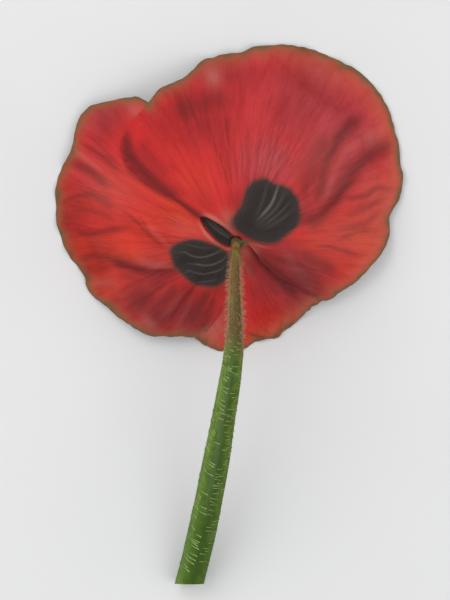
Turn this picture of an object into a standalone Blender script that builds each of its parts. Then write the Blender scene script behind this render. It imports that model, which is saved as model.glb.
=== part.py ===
"""Poppy flower, cut and laid face down: the petals make a shallow dome whose rim rests on the surface,
and the stem leaves the back of the dome, bends over and comes down to rest on its cut end.

Metres, +Z up. The origin is under the middle of the flower's box, on the surface it lies on.
Inside the flower a point is placed from the receptacle: x and y across the dome, as seen from above.
"""

import math

import bmesh
import bpy
import numpy as np
from mathutils import Matrix, Vector

MM = 0.001

# Where the receptacle is, and how the flower leans on its stem.
RECEPTACLE = (1.55 * MM, 17.65 * MM)
TILT = math.radians(19.0)

# The dome that all the petals follow.
DOME_HEIGHT = 23.6 * MM
DOME_POWER = 1.95
DOME_MEAN_RADIUS = 37.4 * MM
DOME_OFFSET = 13.0 * MM
DOME_OFFSET_ANGLE = math.radians(98.0)
DOME_STRETCH = 2.8 * MM
DOME_STRETCH_ANGLE = math.radians(24.0)
FLOOR_BLEND = 3.0 * MM
RIM_WAVES = ((5, 1.1 * MM, 0.4), (9, 0.7 * MM, 2.1), (16, 0.35 * MM, 0.9))
REST_ANGLES = (math.radians(60.0), math.radians(186.0), math.radians(294.0))
REST_DIP = 7.0 * MM
REST_WIDTH = math.radians(11.0)

# Folds that run outwards through all the layers at once.
# (angle near the middle, angle at the rim, width in degrees, height in millimetres, where it is fullest)
FOLDS = (
    (134, 126, 9.0, 1.5, 0.62), (119, 112, 5.0, -0.9, 0.7), (103, 104, 6.0, 0.7, 0.7),
    (90, 88, 4.5, -0.5, 0.8), (78, 77, 5.5, 0.6, 0.75), (60, 64, 5.0, 0.7, 0.75), (47, 54, 4.0, 0.8, 0.75),
    (36, 46, 3.6, -1.3, 0.75), (26, 39, 4.0, 1.0, 0.72), (14, 33, 3.8, -1.3, 0.72), (2, 22, 5.0, 1.0, 0.72),
    (-9, 9, 4.2, -0.8, 0.8), (-15, -5, 4.5, 0.8, 0.75), (-31, -29, 6.0, -0.9, 0.6),
    (-52, -55, 7.0, 0.8, 0.7), (-72, -70, 5.0, -0.6, 0.8), (-84, -86, 6.0, 0.6, 0.7),
    (246, 246, 4.0, -0.9, 0.75), (236, 237, 4.5, 0.8, 0.75), (226, 227, 4.0, -1.0, 0.75),
    (217, 221, 4.2, 0.8, 0.75), (208, 213, 3.8, -0.9, 0.72), (212, 203, 4.5, 0.9, 0.72),
    (203, 188, 4.0, -1.4, 0.68), (192, 177, 4.5, 1.1, 0.7), (182, 168, 3.8, -0.8, 0.75),
    (171, 160, 4.5, 0.8, 0.75), (158, 152, 4.5, -0.9, 0.75), (148, 141, 5.0, 0.5, 0.85),
)
# Shares of the way out: between the first two a fold swings from its inner to its outer angle, and
# between the other two it starts and dies down. At the rim it has lost this much of its height.
FOLD_SWING = (0.3, 0.95)
FOLD_SPAN = (0.14, 1.02)
FOLD_RIM_LOSS = 0.55

# Petals.
PETAL_THICKNESS = 0.65 * MM
LAYER_PITCH = 1.1 * MM
CLAW_RADIUS = 1.55 * MM
FLAT_RADIUS = 2.6 * MM
EASED_RADIUS = 11.0 * MM
# Where a petal climbs onto the one beside it: over this turn, and between these radii.
CLIMB_TURN = 0.35
CLIMB_RADII = (3.0 * MM, 8.0 * MM)
# Where nothing lies under a petal its edge sinks back to the dome: over this turn, and between these shares.
SINK_TURN = 0.12
SINK_SHARES = (0.8, 0.93)
SLOPE_STEP = 0.05 * MM

# Receptacle, stem, pistil and stamens.
# The receptacle's outline as (radius, height) in millimetres: the seat of the pistil, the groove that takes
# the petals' claws, and the collar on the stem's side.
RECEPTACLE_PROFILE = (
    (0.0, 1.65), (1.65, 1.65), (1.95, 1.45), (1.9, 1.2), (1.25, 1.2), (1.25, -1.2), (1.75, -1.2),
    (2.0, -1.5), (1.85, -1.8), (1.25, -2.2), (1.5, -2.8), (0.0, -2.8),
)
RECEPTACLE_STEPS = 22
STEM_SIDES = 14
RAYS = 10
BODY_SEGMENTS = 30
STAMENS = 50
STAMEN_SIDES = 4
# Points of a mesh nearer than this become one.
TUBE_MERGE = 0.002 * MM
SCREW_MERGE = 0.01 * MM
STAMEN_SEED = 4
STAMEN_RING_STEPS = 28


def smooth_step(value, low, high):
    share = np.clip((value - low) / (high - low), 0.0, 1.0)
    return share * share * (3.0 - 2.0 * share)


def bump(value, middle, width):
    return np.exp(-(((value - middle) / width) ** 2))


def spline(points):
    """A smooth curve through (place, value) pairs, held level past both ends."""
    places = np.array([p[0] for p in points], float)
    values = np.array([p[1] for p in points], float)
    slopes = np.gradient(values, places)

    def at(place):
        place = np.clip(place, places[0], places[-1])
        index = np.clip(np.searchsorted(places, place) - 1, 0, len(places) - 2)
        span = places[index + 1] - places[index]
        t = (place - places[index]) / span
        return (
            (2 * t**3 - 3 * t**2 + 1) * values[index]
            + (t**3 - 2 * t**2 + t) * span * slopes[index]
            + (3 * t**2 - 2 * t**3) * values[index + 1]
            + (t**3 - t**2) * span * slopes[index + 1]
        )

    return at


def degrees_spline(points, scale=1.0):
    return spline([(math.radians(angle), value * scale) for angle, value in points])


# One entry for each petal. Angles are in degrees round the receptacle, radii in millimetres.
# reach is the outline; left and right are the side margins, from the claw outwards, as (radius, angle).
PETALS = {
    "petal_outer_right": {
        "reach": (
            (-36, 23.0), (-31, 26.9), (-25, 28.4), (-16, 31.8), (-13, 32.8), (-9, 34.0), (-6, 35.4),
            (0, 38.0), (6, 39.0), (9, 39.4), (12, 40.6), (15, 42.9), (18, 44.3), (22, 45.5), (25, 46.0),
            (30, 47.6), (38, 50.2), (46, 52.4), (52, 53.2), (60, 53.1), (68, 52.5), (75, 51.9), (83, 50.4),
            (90, 48.2), (97, 47.7), (100, 47.2), (103, 45.2), (107, 42.9), (113, 42.2), (117, 42.0),
            (120, 41.0), (122, 40.3), (126, 39.7), (131, 39.0), (134.5, 38.4), (138.5, 37.4), (141.5, 35.6),
            (144.5, 32.0),
        ),
        "left": (
            (1.5, 100), (2.45, 119), (4.6, 128.4), (6.8, 135), (8.7, 139.6), (10.3, 144), (16, 144.4),
            (22, 145.2), (27, 145.6), (32, 144.5),
        ),
        "right": ((1.5, 4), (3.0, -14), (6.0, -33), (10.0, -38), (17.7, -36.0), (24.0, -34)),
        "level": 1,
        "over_from": 112,
        "free": (2, 104),
        "columns": 66,
        "rows": 18,
    },
    "petal_outer_left": {
        "reach": (
            (114, 35.0), (118, 38.3), (121, 40.4), (122.4, 41.9), (123.4, 43.5), (126, 44.6), (130, 46.8),
            (135, 49.5), (138, 50.6), (142, 50.3), (145, 49.3), (150, 47.9), (160, 48.0), (168, 46.5),
            (176, 44.8), (182, 43.0), (186, 41.6), (189, 39.8), (192, 39.1), (195, 39.4), (198, 39.0),
            (202, 38.0), (206, 36.5), (210, 35.8), (216, 34.3), (220, 33.3), (226, 31.6), (231, 29.7),
            (235, 27.9), (238, 26.8), (241, 26.3), (245, 25.3), (250, 23.2),
        ),
        "left": ((1.5, 256), (5.0, 262), (10.6, 262), (15.2, 259.5), (24.2, 249.5)),
        "right": (
            (1.5, 215), (2.1, 212), (3.35, 185.5), (4.75, 166.7), (6.35, 155.4), (7.55, 148.6),
            (8.4, 142.5), (10.5, 136), (16, 128), (30, 118),
        ),
        "level": 1,
        "over_from": None,
        "free": (150, 222),
        "columns": 52,
        "rows": 17,
    },
    "petal_inner_upper": {
        "reach": (
            (76, 31.0), (84, 35.0), (98, 37.5), (114, 36.0), (130, 36.0), (146, 34.5), (160, 32.5),
            (170, 30.0), (178, 26.0),
        ),
        "left": ((1.5, 218), (2.5, 210), (4.0, 194), (6.0, 185), (12.0, 182), (30.0, 178)),
        "right": ((1.5, 100), (5.0, 86), (12.0, 76), (34.0, 76)),
        "level": 0,
        "over_from": None,
        "free": None,
        "columns": 34,
        "rows": 11,
    },
    "petal_inner_lower": {
        "reach": (
            (232, 22.0), (240, 24.8), (246, 26.2), (251, 26.5), (259, 27.4), (268, 26.9), (275, 26.7),
            (279, 25.6), (285, 25.2), (291, 25.8), (296, 25.6), (300, 25.2), (310, 25.1), (318, 25.2),
            (323, 25.9), (330, 26.4), (342, 25.4), (350, 22.0),
        ),
        "left": ((1.5, 346), (4.0, 356), (12.0, 357), (24.0, 350)),
        "right": ((1.5, 262), (5.0, 246), (12.0, 234), (24.0, 232)),
        "level": 0,
        "over_from": None,
        "free": None,
        "columns": 42,
        "rows": 11,
    },
}

# The stem's centre line from the receptacle down to the cut end, and its radius along it.
STEM_LINE = (
    (0.0, 0.3, -0.9), (0.0, -0.3, 1.2), (-0.1, -1.5, 4.4), (-0.2, -4.0, 8.4), (-0.3, -8.6, 10.9),
    (-0.3, -14.0, 11.0), (-0.3, -21.0, 9.0), (-1.1, -31.0, 5.0), (-2.9, -42.0, 0.2),
    (-5.5, -57.0, -7.0), (-8.7, -73.0, -14.6), (-12.2, -87.5, -20.46),
)
STEM_RADIUS = (
    (0.0, 0.8), (0.1, 0.85), (0.2, 0.95), (0.27, 1.1), (0.36, 1.42), (0.45, 1.7), (0.545, 2.05),
    (0.636, 2.55), (0.727, 2.95), (0.818, 3.3), (0.909, 3.5), (1.0, 3.7),
)
STEM_POINTS = 34
# The upright plane that cuts the stem off: where it is, and the block beyond it that is taken away.
CUT_PLACE = -85.6 * MM
CUT_MIDDLE = (-12.0 * MM, 4.0 * MM)
CUT_BLOCK = (30.0 * MM, 12.0 * MM, 30.0 * MM)

# The turned bodies on the flower's axis, from the top down: (radius, height, how strongly the ribs show).
# Millimetres, with heights from the receptacle towards the way the flower faces.
RIB_SHARE = {"ovary": 0.05, "stigma_disc": 0.06}
OVARY_RINGS = (
    (0.0, 10.1, 0), (1.6, 10.1, 0), (2.7, 9.6, 1), (3.05, 8.2, 1), (2.9, 6.4, 1), (2.2, 4.4, 1),
    (1.35, 2.9, 0.5), (1.2, 1.95, 0), (0.0, 1.95, 0),
)
STIGMA_RINGS = (
    (0.0, 12.2, 0), (0.9, 12.3, 0), (2.0, 12.0, 0), (3.0, 11.5, 0.4), (3.75, 10.9, 1), (3.8, 10.45, 1),
    (2.9, 10.5, 0.4), (1.2, 10.4, 0), (0.0, 10.4, 0),
)
# The raised rays on the stigma: from this height up, between these radii, this high.
RAY_FROM = 10.7 * MM
RAY_RADII = (0.5 * MM, 3.6 * MM)
RAY_HEIGHT = 0.22 * MM

# Stamens: the ring they grow from, then (lean in degrees, length) of each row, and the shape of one
# as (share of its length, radius). Millimetres.
STAMEN_RING = ((1.75, 1.95), (1.75, 2.75), (2.75, 2.75), (2.75, 1.95))
STAMEN_ROOT = (2.05, 2.35)
STAMEN_ROW_STEP = 0.2
STAMEN_ROWS = ((28.0, 7.6), (45.0, 8.0), (60.0, 7.4))
STAMEN_OUTLINE = ((0.0, 0.17), (0.5, 0.15), (0.86, 0.14), (0.9, 0.42), (1.0, 0.46), (1.08, 0.3))
STAMEN_BEND = 0.9
STAMEN_SPREAD = {"turn": 0.35, "lean": 5.0, "length": 0.9}

# Colour and roughness of each material.
PAINTS = {
    "petal_red": ((0.62, 0.045, 0.035), 0.55),
    "stem_green": ((0.13, 0.24, 0.05), 0.6),
    "ovary_green": ((0.32, 0.42, 0.16), 0.5),
    "stamen_dark": ((0.025, 0.02, 0.035), 0.7),
    "stigma_plum": ((0.16, 0.06, 0.09), 0.8),
}


def dome_radius(angle):
    return (
        DOME_MEAN_RADIUS
        + DOME_OFFSET * np.cos(angle - DOME_OFFSET_ANGLE)
        + DOME_STRETCH * np.cos(2.0 * (angle - DOME_STRETCH_ANGLE))
    )


def wrapped(angle):
    return (angle + math.pi) % (2.0 * math.pi) - math.pi


def soft_floor(height, floor):
    """The height where it is well above the floor, the floor where it is well below, smooth between."""
    share = np.clip(0.5 + 0.5 * (height - floor) / FLOOR_BLEND, 0.0, 1.0)
    return floor + (height - floor) * share + FLOOR_BLEND * share * (1.0 - share)


def folds_at(angle, share):
    """Height of the folds that every layer follows."""
    height = np.zeros_like(angle)
    for inner, outer, width, size, fullest in FOLDS:
        line = np.radians(inner + (outer - inner) * smooth_step(share, *FOLD_SWING))
        rise = smooth_step(share, FOLD_SPAN[0], fullest)
        rise = rise * (1.0 - FOLD_RIM_LOSS * smooth_step(share, fullest, FOLD_SPAN[1]))
        height = height + size * MM * rise * bump(wrapped(angle - line), 0.0, math.radians(width))
    return height


def dome_height(x, y):
    """Height of the dome's middle surface above the resting surface."""
    radius = np.hypot(x, y)
    angle = np.arctan2(y, x)
    share = radius / dome_radius(angle)
    leaning = y * math.tan(TILT)
    round_part = DOME_HEIGHT * (1.0 - share**DOME_POWER) + leaning * np.clip(1.0 - share, 0.0, 1.0) ** 2
    round_part = round_part + folds_at(angle, share)
    resting = sum(bump(wrapped(angle - rest), 0.0, REST_WIDTH) for rest in REST_ANGLES)
    waves = sum(height * (1.0 + np.cos(count * angle + phase)) for count, height, phase in RIM_WAVES)
    round_part = round_part + waves * share**4 * (1.0 - resting) - REST_DIP * share**6 * resting
    flat_part = DOME_HEIGHT + leaning
    round_share = smooth_step(radius, FLAT_RADIUS, EASED_RADIUS)
    height = flat_part * (1.0 - round_share) + round_part * round_share
    return soft_floor(height, 0.5 * (PETAL_THICKNESS + LAYER_PITCH))


def on_dome(x, y, offset):
    """Points lifted off the dome along its own normal."""
    step = SLOPE_STEP
    slope_x = (dome_height(x + step, y) - dome_height(x - step, y)) / (2.0 * step)
    slope_y = (dome_height(x, y + step) - dome_height(x, y - step)) / (2.0 * step)
    steep = np.sqrt(1.0 + slope_x**2 + slope_y**2)
    return (
        x - offset * slope_x / steep,
        y - offset * slope_y / steep,
        dome_height(x, y) + offset / steep,
    )


def petal_offset(petal, angle, radius):
    """How far a petal's middle surface stands off the dome, for its place in the layers."""
    level = petal["level"] * np.ones_like(angle)
    if petal["over_from"] is not None:
        over = math.radians(petal["over_from"])
        level = level + smooth_step(angle, over - CLIMB_TURN, over) * smooth_step(radius, *CLIMB_RADII)
    if petal["free"] is not None:
        first, last = (math.radians(limit) for limit in petal["free"])
        inside = smooth_step(angle, first - SINK_TURN, first + SINK_TURN)
        inside = inside * (1.0 - smooth_step(angle, last - SINK_TURN, last + SINK_TURN))
        level = level * (1.0 - inside * smooth_step(radius / dome_radius(angle), *SINK_SHARES))
    return LAYER_PITCH * (level - 0.5)


def petal_points(petal, along, across):
    """Points of a petal's middle surface. along runs from claw to rim, across from -1 to 1, side to side."""
    reach = degrees_spline(petal["reach"], MM)
    first, last = math.radians(petal["reach"][0][0]), math.radians(petal["reach"][-1][0])
    low = spline([(r * MM, math.radians(a)) for r, a in petal["right"]])
    high = spline([(r * MM, math.radians(a)) for r, a in petal["left"]])
    right = low(CLAW_RADIUS + (reach(first) - CLAW_RADIUS) * along)
    left = high(CLAW_RADIUS + (reach(last) - CLAW_RADIUS) * along)
    angle = 0.5 * (right + left) + 0.5 * (left - right) * across
    rim = reach(angle)
    radius = CLAW_RADIUS + (rim - CLAW_RADIUS) * along
    offset = petal_offset(petal, angle, radius)
    x, y, z = on_dome(radius * np.cos(angle), radius * np.sin(angle), offset)
    return x, y, np.maximum(z, 0.5 * PETAL_THICKNESS)


def material(name, colour, roughness):
    made = bpy.data.materials.new(name)
    made.use_nodes = True
    shader = made.node_tree.nodes["Principled BSDF"]
    shader.inputs["Base Color"].default_value = (*colour, 1.0)
    shader.inputs["Roughness"].default_value = roughness
    shader.inputs["Metallic"].default_value = 0.0
    return made


def place(name, mesh, paint, collection, parent):
    obj = bpy.data.objects.new(name, mesh)
    collection.objects.link(obj)
    obj.parent = parent
    mesh.materials.clear()
    mesh.materials.append(paint)
    return obj


def make_petal(name, petal, paint, collection, parent):
    """A grid bent to the petal's surface, split into triangles and thickened: both faces are split alike."""
    bm = bmesh.new()
    bmesh.ops.create_grid(bm, x_segments=petal["columns"], y_segments=petal["rows"], size=1.0)
    grid = np.array([v.co[:2] for v in bm.verts])
    along = 0.5 * (grid[:, 1] + 1.0)
    points = np.column_stack(petal_points(petal, along, grid[:, 0]))
    for vertex, point in zip(bm.verts, points):
        vertex.co = point
    bmesh.ops.triangulate(bm, faces=bm.faces[:], quad_method="BEAUTY")
    bmesh.ops.recalc_face_normals(bm, faces=bm.faces[:])
    if sum(face.normal.z for face in bm.faces) < 0.0:
        bmesh.ops.reverse_faces(bm, faces=bm.faces[:])
    mesh = bpy.data.meshes.new(name)
    bm.to_mesh(mesh)
    bm.free()
    mesh.shade_smooth()
    obj = place(name, mesh, paint, collection, parent)
    solid = obj.modifiers.new("thickness", "SOLIDIFY")
    solid.thickness = PETAL_THICKNESS
    solid.offset = 0.0
    return obj


def turned(name, profile, steps, paint, collection, parent, ring=False):
    """A profile of (radius, height) points in millimetres, turned about the flower's axis."""
    mesh = bpy.data.meshes.new(name)
    points = [(r * MM, 0.0, h * MM) for r, h in profile]
    edges = [(i, i + 1) for i in range(len(points) - 1)]
    if ring:
        edges.append((len(points) - 1, 0))
    mesh.from_pydata(points, edges, [])
    obj = place(name, mesh, paint, collection, parent)
    screw = obj.modifiers.new("turn", "SCREW")
    screw.steps = screw.render_steps = steps
    screw.use_merge_vertices = True
    screw.merge_threshold = SCREW_MERGE
    screw.use_normal_calculate = True
    return obj


def face_on_the_flower(obj):
    """Turns an object whose +Z is the way the flower faces, so that it leans with the flower."""
    obj.rotation_euler = (math.pi + TILT, 0.0, 0.0)


def stem_points():
    """Centre line and radii of the stem."""
    places = np.linspace(0.0, 1.0, len(STEM_LINE))
    x, y, z = (spline(list(zip(places, column))) for column in zip(*STEM_LINE))
    radius = spline(STEM_RADIUS)
    along = np.linspace(0.0, 1.0, STEM_POINTS)
    return [
        (Vector((x(t), y(t), z(t))) * MM + Vector((0.0, 0.0, DOME_HEIGHT)), float(radius(t)) * MM)
        for t in along
    ]


def tube(name, line, sides, collection, parent, paint):
    """A round tube of changing radius, as a closed mesh."""
    curve = bpy.data.curves.new(name, "CURVE")
    curve.dimensions = "3D"
    curve.bevel_depth = 1.0
    curve.bevel_resolution = max(0, sides // 2 - 2)
    curve.use_fill_caps = True
    thread = curve.splines.new("POLY")
    thread.points.add(len(line) - 1)
    for point, (place_at, radius) in zip(thread.points, line):
        point.co = (*place_at, 1.0)
        point.radius = radius
    guide = bpy.data.objects.new(name + "_line", curve)
    collection.objects.link(guide)
    guide.parent = parent
    bpy.context.view_layer.update()
    graph = bpy.context.evaluated_depsgraph_get()
    mesh = bpy.data.meshes.new_from_object(guide.evaluated_get(graph))
    bpy.data.objects.remove(guide)
    bm = bmesh.new()
    bm.from_mesh(mesh)
    bmesh.ops.remove_doubles(bm, verts=bm.verts[:], dist=TUBE_MERGE)
    bmesh.ops.recalc_face_normals(bm, faces=bm.faces[:])
    bm.to_mesh(mesh)
    bm.free()
    return place(name, mesh, paint, collection, parent)


def apply_modifiers(obj):
    bpy.context.view_layer.update()
    graph = bpy.context.evaluated_depsgraph_get()
    mesh = bpy.data.meshes.new_from_object(obj.evaluated_get(graph))
    bm = bmesh.new()
    bm.from_mesh(mesh)
    bmesh.ops.recalc_face_normals(bm, faces=bm.faces[:])
    bm.to_mesh(mesh)
    bm.free()
    obj.modifiers.clear()
    obj.data = mesh


def make_stem(paint, collection, cutters, parent):
    """The stem and the receptacle that it widens into, grown as one. A groove takes the petals' claws."""
    stem = tube("stem", stem_points(), STEM_SIDES, collection, parent, paint)
    seat = turned("receptacle", RECEPTACLE_PROFILE, RECEPTACLE_STEPS, paint, cutters, parent)
    seat.location = (0.0, 0.0, DOME_HEIGHT)
    face_on_the_flower(seat)
    apply_modifiers(seat)
    bm = bmesh.new()
    bmesh.ops.create_cube(bm, size=1.0)
    box = bpy.data.meshes.new("cut")
    bm.to_mesh(box)
    bm.free()
    knife = place("cut", box, paint, cutters, parent)
    knife.location = (CUT_MIDDLE[0], CUT_PLACE - 0.5 * CUT_BLOCK[1], CUT_MIDDLE[1])
    knife.scale = CUT_BLOCK
    bpy.context.view_layer.update()
    for tool, operation in ((knife, "DIFFERENCE"), (seat, "UNION")):
        step = stem.modifiers.new(tool.name, "BOOLEAN")
        step.operation = operation
        step.object = tool
    apply_modifiers(stem)
    bpy.data.objects.remove(knife)
    bpy.data.objects.remove(seat)
    return stem


def ribbed_body(name, rings, paint, collection, parent):
    """A round body along the flower's axis, with one rib under each ray of the stigma."""
    bm = bmesh.new()
    bmesh.ops.create_uvsphere(bm, u_segments=BODY_SEGMENTS, v_segments=len(rings) - 1, radius=1.0)
    for vertex in bm.verts:
        polar = math.acos(max(-1.0, min(1.0, vertex.co.z)))
        radius, height, strength = rings[round(polar / math.pi * (len(rings) - 1))]
        turn = math.atan2(vertex.co.y, vertex.co.x)
        swell = 1.0 + RIB_SHARE[name] * strength * math.cos(RAYS * turn)
        vertex.co = (radius * swell * math.cos(turn) * MM, radius * swell * math.sin(turn) * MM, height * MM)
    bmesh.ops.recalc_face_normals(bm, faces=bm.faces[:])
    mesh = bpy.data.meshes.new(name)
    bm.to_mesh(mesh)
    bm.free()
    mesh.shade_smooth()
    obj = place(name, mesh, paint, collection, parent)
    obj.location = (0.0, 0.0, DOME_HEIGHT)
    face_on_the_flower(obj)
    return obj


def make_stigma(paint, collection, parent):
    """The rayed disc on top of the ovary: one raised ray over each rib, and a scalloped edge."""
    stigma = ribbed_body("stigma_disc", STIGMA_RINGS, paint, collection, parent)
    for vertex in stigma.data.vertices:
        radius = math.hypot(vertex.co.x, vertex.co.y)
        if vertex.co.z > RAY_FROM and RAY_RADII[0] < radius < RAY_RADII[1]:
            vertex.co.z += RAY_HEIGHT * math.cos(RAYS * math.atan2(vertex.co.y, vertex.co.x))
    return stigma


def make_stamens(paint, collection, parent):
    """A ring of stamens round the ovary. Each is a thin filament with a long anther, grown into the ring."""
    ring = turned("stamens", STAMEN_RING, STAMEN_RING_STEPS, paint, collection, parent, ring=True)
    apply_modifiers(ring)
    draw = np.random.default_rng(STAMEN_SEED)
    copies = bpy.data.collections.new("stamen_copies")
    bpy.context.scene.collection.children.link(copies)
    for index in range(STAMENS):
        turn = 2.0 * math.pi * (index + STAMEN_SPREAD["turn"] * draw.random()) / STAMENS
        row = index % len(STAMEN_ROWS)
        lean = math.radians(STAMEN_ROWS[row][0] + STAMEN_SPREAD["lean"] * (draw.random() - 0.5))
        length = STAMEN_ROWS[row][1] + STAMEN_SPREAD["length"] * (draw.random() - 0.5)
        root = Vector((STAMEN_ROOT[0] + STAMEN_ROW_STEP * row, 0.0, STAMEN_ROOT[1]))
        way = Vector((math.sin(lean), 0.0, math.cos(lean)))
        line = []
        for along, radius in STAMEN_OUTLINE:
            at = root + way * (length * along) + Vector((0.0, 0.0, STAMEN_BEND * along * (1.0 - along)))
            line.append((Matrix.Rotation(turn, 4, "Z") @ at * MM, radius * MM))
        tube(f"stamen_{index:02d}", line, STAMEN_SIDES, copies, parent, paint)
    union = ring.modifiers.new("grown_together", "BOOLEAN")
    union.operation = "UNION"
    union.operand_type = "COLLECTION"
    union.collection = copies
    union.solver = "MANIFOLD"
    apply_modifiers(ring)
    for obj in list(copies.objects):
        bpy.data.objects.remove(obj)
    bpy.data.collections.remove(copies)
    ring.location = (0.0, 0.0, DOME_HEIGHT)
    face_on_the_flower(ring)
    return ring


def main():
    for obj in list(bpy.data.objects):
        bpy.data.objects.remove(obj)
    flower = bpy.data.collections.new("poppy_flower")
    cutters = bpy.data.collections.new("cutters")
    bpy.context.scene.collection.children.link(flower)
    bpy.context.scene.collection.children.link(cutters)
    base = bpy.data.objects.new("receptacle_place", None)
    base.location = (*RECEPTACLE, 0.0)
    flower.objects.link(base)
    paints = {name: material(name, colour, roughness) for name, (colour, roughness) in PAINTS.items()}
    for name, petal in PETALS.items():
        make_petal(name, petal, paints["petal_red"], flower, base)
    make_stem(paints["stem_green"], flower, cutters, base)
    ribbed_body("ovary", OVARY_RINGS, paints["ovary_green"], flower, base)
    make_stigma(paints["stigma_plum"], flower, base)
    make_stamens(paints["stamen_dark"], flower, base)
    bpy.data.collections.remove(cutters)


main()
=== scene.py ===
# A cut poppy lying face down on a pale surface, seen from straight above.
# The flower's dictionaries are in millimetres and degrees. Angles go round the receptacle,
# with 0 to the right and 90 towards the top. Meshes are made in metres.

import math

import bmesh
import bpy
import numpy as np
from mathutils import Matrix, Vector


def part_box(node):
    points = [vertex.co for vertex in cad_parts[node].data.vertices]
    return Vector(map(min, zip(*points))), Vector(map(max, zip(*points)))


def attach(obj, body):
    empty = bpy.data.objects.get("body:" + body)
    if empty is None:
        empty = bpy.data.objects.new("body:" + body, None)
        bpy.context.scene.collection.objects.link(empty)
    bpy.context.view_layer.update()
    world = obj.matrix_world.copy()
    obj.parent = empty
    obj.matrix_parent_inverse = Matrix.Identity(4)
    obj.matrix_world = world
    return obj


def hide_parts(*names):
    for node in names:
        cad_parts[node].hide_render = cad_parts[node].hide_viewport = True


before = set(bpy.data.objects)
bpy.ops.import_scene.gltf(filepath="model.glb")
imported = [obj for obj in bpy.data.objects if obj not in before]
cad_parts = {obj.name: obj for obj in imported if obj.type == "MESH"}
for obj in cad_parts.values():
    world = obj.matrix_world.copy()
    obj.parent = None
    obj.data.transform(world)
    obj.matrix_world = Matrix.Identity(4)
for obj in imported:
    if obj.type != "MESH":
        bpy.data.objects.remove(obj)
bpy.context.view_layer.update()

mm = 0.001
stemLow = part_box("stem")[0]
print("frame loaded:", ", ".join(sorted(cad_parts)))


def smoothStep(value, low, high):
    share = np.clip((value - low) / (high - low), 0.0, 1.0)
    return share * share * (3.0 - 2.0 * share)


# Rises from 0 to 1 over the first two limits and falls back to 0 over the last two.
def plateau(value, start, full, falling, end):
    return smoothStep(value, start, full) * (1.0 - smoothStep(value, falling, end))


# 1 in the middle, fading over the width to either side.
def hump(distance, width):
    return np.exp(-((distance / width) ** 2))


def wrapped(angle):
    return (angle + math.pi) % (2.0 * math.pi) - math.pi


# A hump round a turn. Only the angle is in radians.
def humpRound(angle, turn, width):
    return hump(wrapped(angle - np.radians(turn)), math.radians(width))


# A smooth curve through (place, value) pairs, held level past both ends.
def splineThrough(points):
    places = np.array([place for place, _ in points], float)
    values = np.array([value for _, value in points], float)
    slopes = np.gradient(values, places)

    def at(place):
        place = np.clip(place, places[0], places[-1])
        index = np.clip(np.searchsorted(places, place) - 1, 0, len(places) - 2)
        span = places[index + 1] - places[index]
        t = (place - places[index]) / span
        return (
            (2 * t**3 - 3 * t**2 + 1) * values[index]
            + (t**3 - 2 * t**2 + t) * span * slopes[index]
            + (3 * t**2 - 2 * t**3) * values[index + 1]
            + (t**3 - t**2) * span * slopes[index + 1]
        )

    return at


# One curve for each column of a table whose rows are spaced evenly from 0 to 1.
def columnCurves(rows):
    places = np.linspace(0.0, 1.0, len(rows))
    return [splineThrough(list(zip(places, column))) for column in zip(*rows)]


# The shallow bowl, upside down, that every petal follows. Same shape as the solids.
bowl = {
    "centre": (1.55, 17.65),  # the receptacle, in the frame
    "tilt": 19.0,  # how far the flower leans on its stem
    "height": 23.6,  # of the receptacle above the floor
    "power": 1.95,  # how its sides curve: 1 is a cone, more is rounder
    "meanRadius": 37.4,
    "offset": 13.0,  # the bowl reaches this much further...
    "offsetTurn": 98.0,  # ...towards here
    "stretch": 2.8,  # it is longer than it is wide by this much...
    "stretchTurn": 24.0,  # ...along this line
    "floorBlend": 3.0,  # height over which it settles onto the floor
    "rimWaves": ((5, 1.1, 0.4), (9, 0.7, 2.1), (16, 0.35, 0.9)),  # (count, height, phase in radians)
    "wavePower": 4,  # the higher, the closer the waves keep to the rim
    "restTurns": (60.0, 186.0, 294.0),  # the low places that it rests on
    "restDip": 7.0,
    "restPower": 6,
    "restWidth": 11.0,
    "flatRadius": 2.6,  # level round the receptacle, out to here...
    "easedRadius": 11.0,  # ...and the full bowl from here
    "clawRadius": 1.55,  # where the petals begin
    "layerPitch": 1.1,  # from one layer of petals to the next
    "rootLevel": 0.33,  # share of that pitch left between the petals at the receptacle
    "rootEase": (2.0, 7.0),  # the pitch grows to its full size between these radii
    "foldTurning": (0.3, 0.95),  # shares of the way out between which a fold turns to its rim angle
    "foldStart": 0.14,
    "foldEnd": 1.02,
    "foldFade": 0.55,  # how much of a fold's height is gone at its end
    # (angle near the middle, angle at the rim, width, height, share of the way out where it is fullest)
    "folds": (
        (134, 126, 9.0, 1.5, 0.62), (119, 112, 5.0, -0.9, 0.7), (103, 104, 6.0, 0.7, 0.7),
        (90, 88, 4.5, -0.5, 0.8), (78, 77, 5.5, 0.6, 0.75), (60, 64, 5.0, 0.7, 0.75),
        (47, 54, 4.0, 0.8, 0.75), (36, 46, 3.6, -1.3, 0.75), (26, 39, 4.0, 1.0, 0.72),
        (14, 33, 3.8, -1.3, 0.72), (2, 22, 5.0, 1.0, 0.72), (-9, 9, 4.2, -0.8, 0.8),
        (-15, -5, 4.5, 0.8, 0.75), (-31, -29, 6.0, -0.9, 0.6), (-52, -55, 7.0, 0.8, 0.7),
        (-72, -70, 5.0, -0.6, 0.8), (-84, -86, 6.0, 0.6, 0.7), (246, 246, 4.0, -0.9, 0.75),
        (236, 237, 4.5, 0.8, 0.75), (226, 227, 4.0, -1.0, 0.75), (217, 221, 4.2, 0.8, 0.75),
        (208, 213, 3.8, -0.9, 0.72), (212, 203, 4.5, 0.9, 0.72), (203, 188, 4.0, -1.4, 0.68),
        (192, 177, 4.5, 1.1, 0.7), (182, 168, 3.8, -0.8, 0.75), (171, 160, 4.5, 0.8, 0.75),
        (158, 152, 4.5, -0.9, 0.75), (148, 141, 5.0, 0.5, 0.85),
    ),
}


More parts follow.
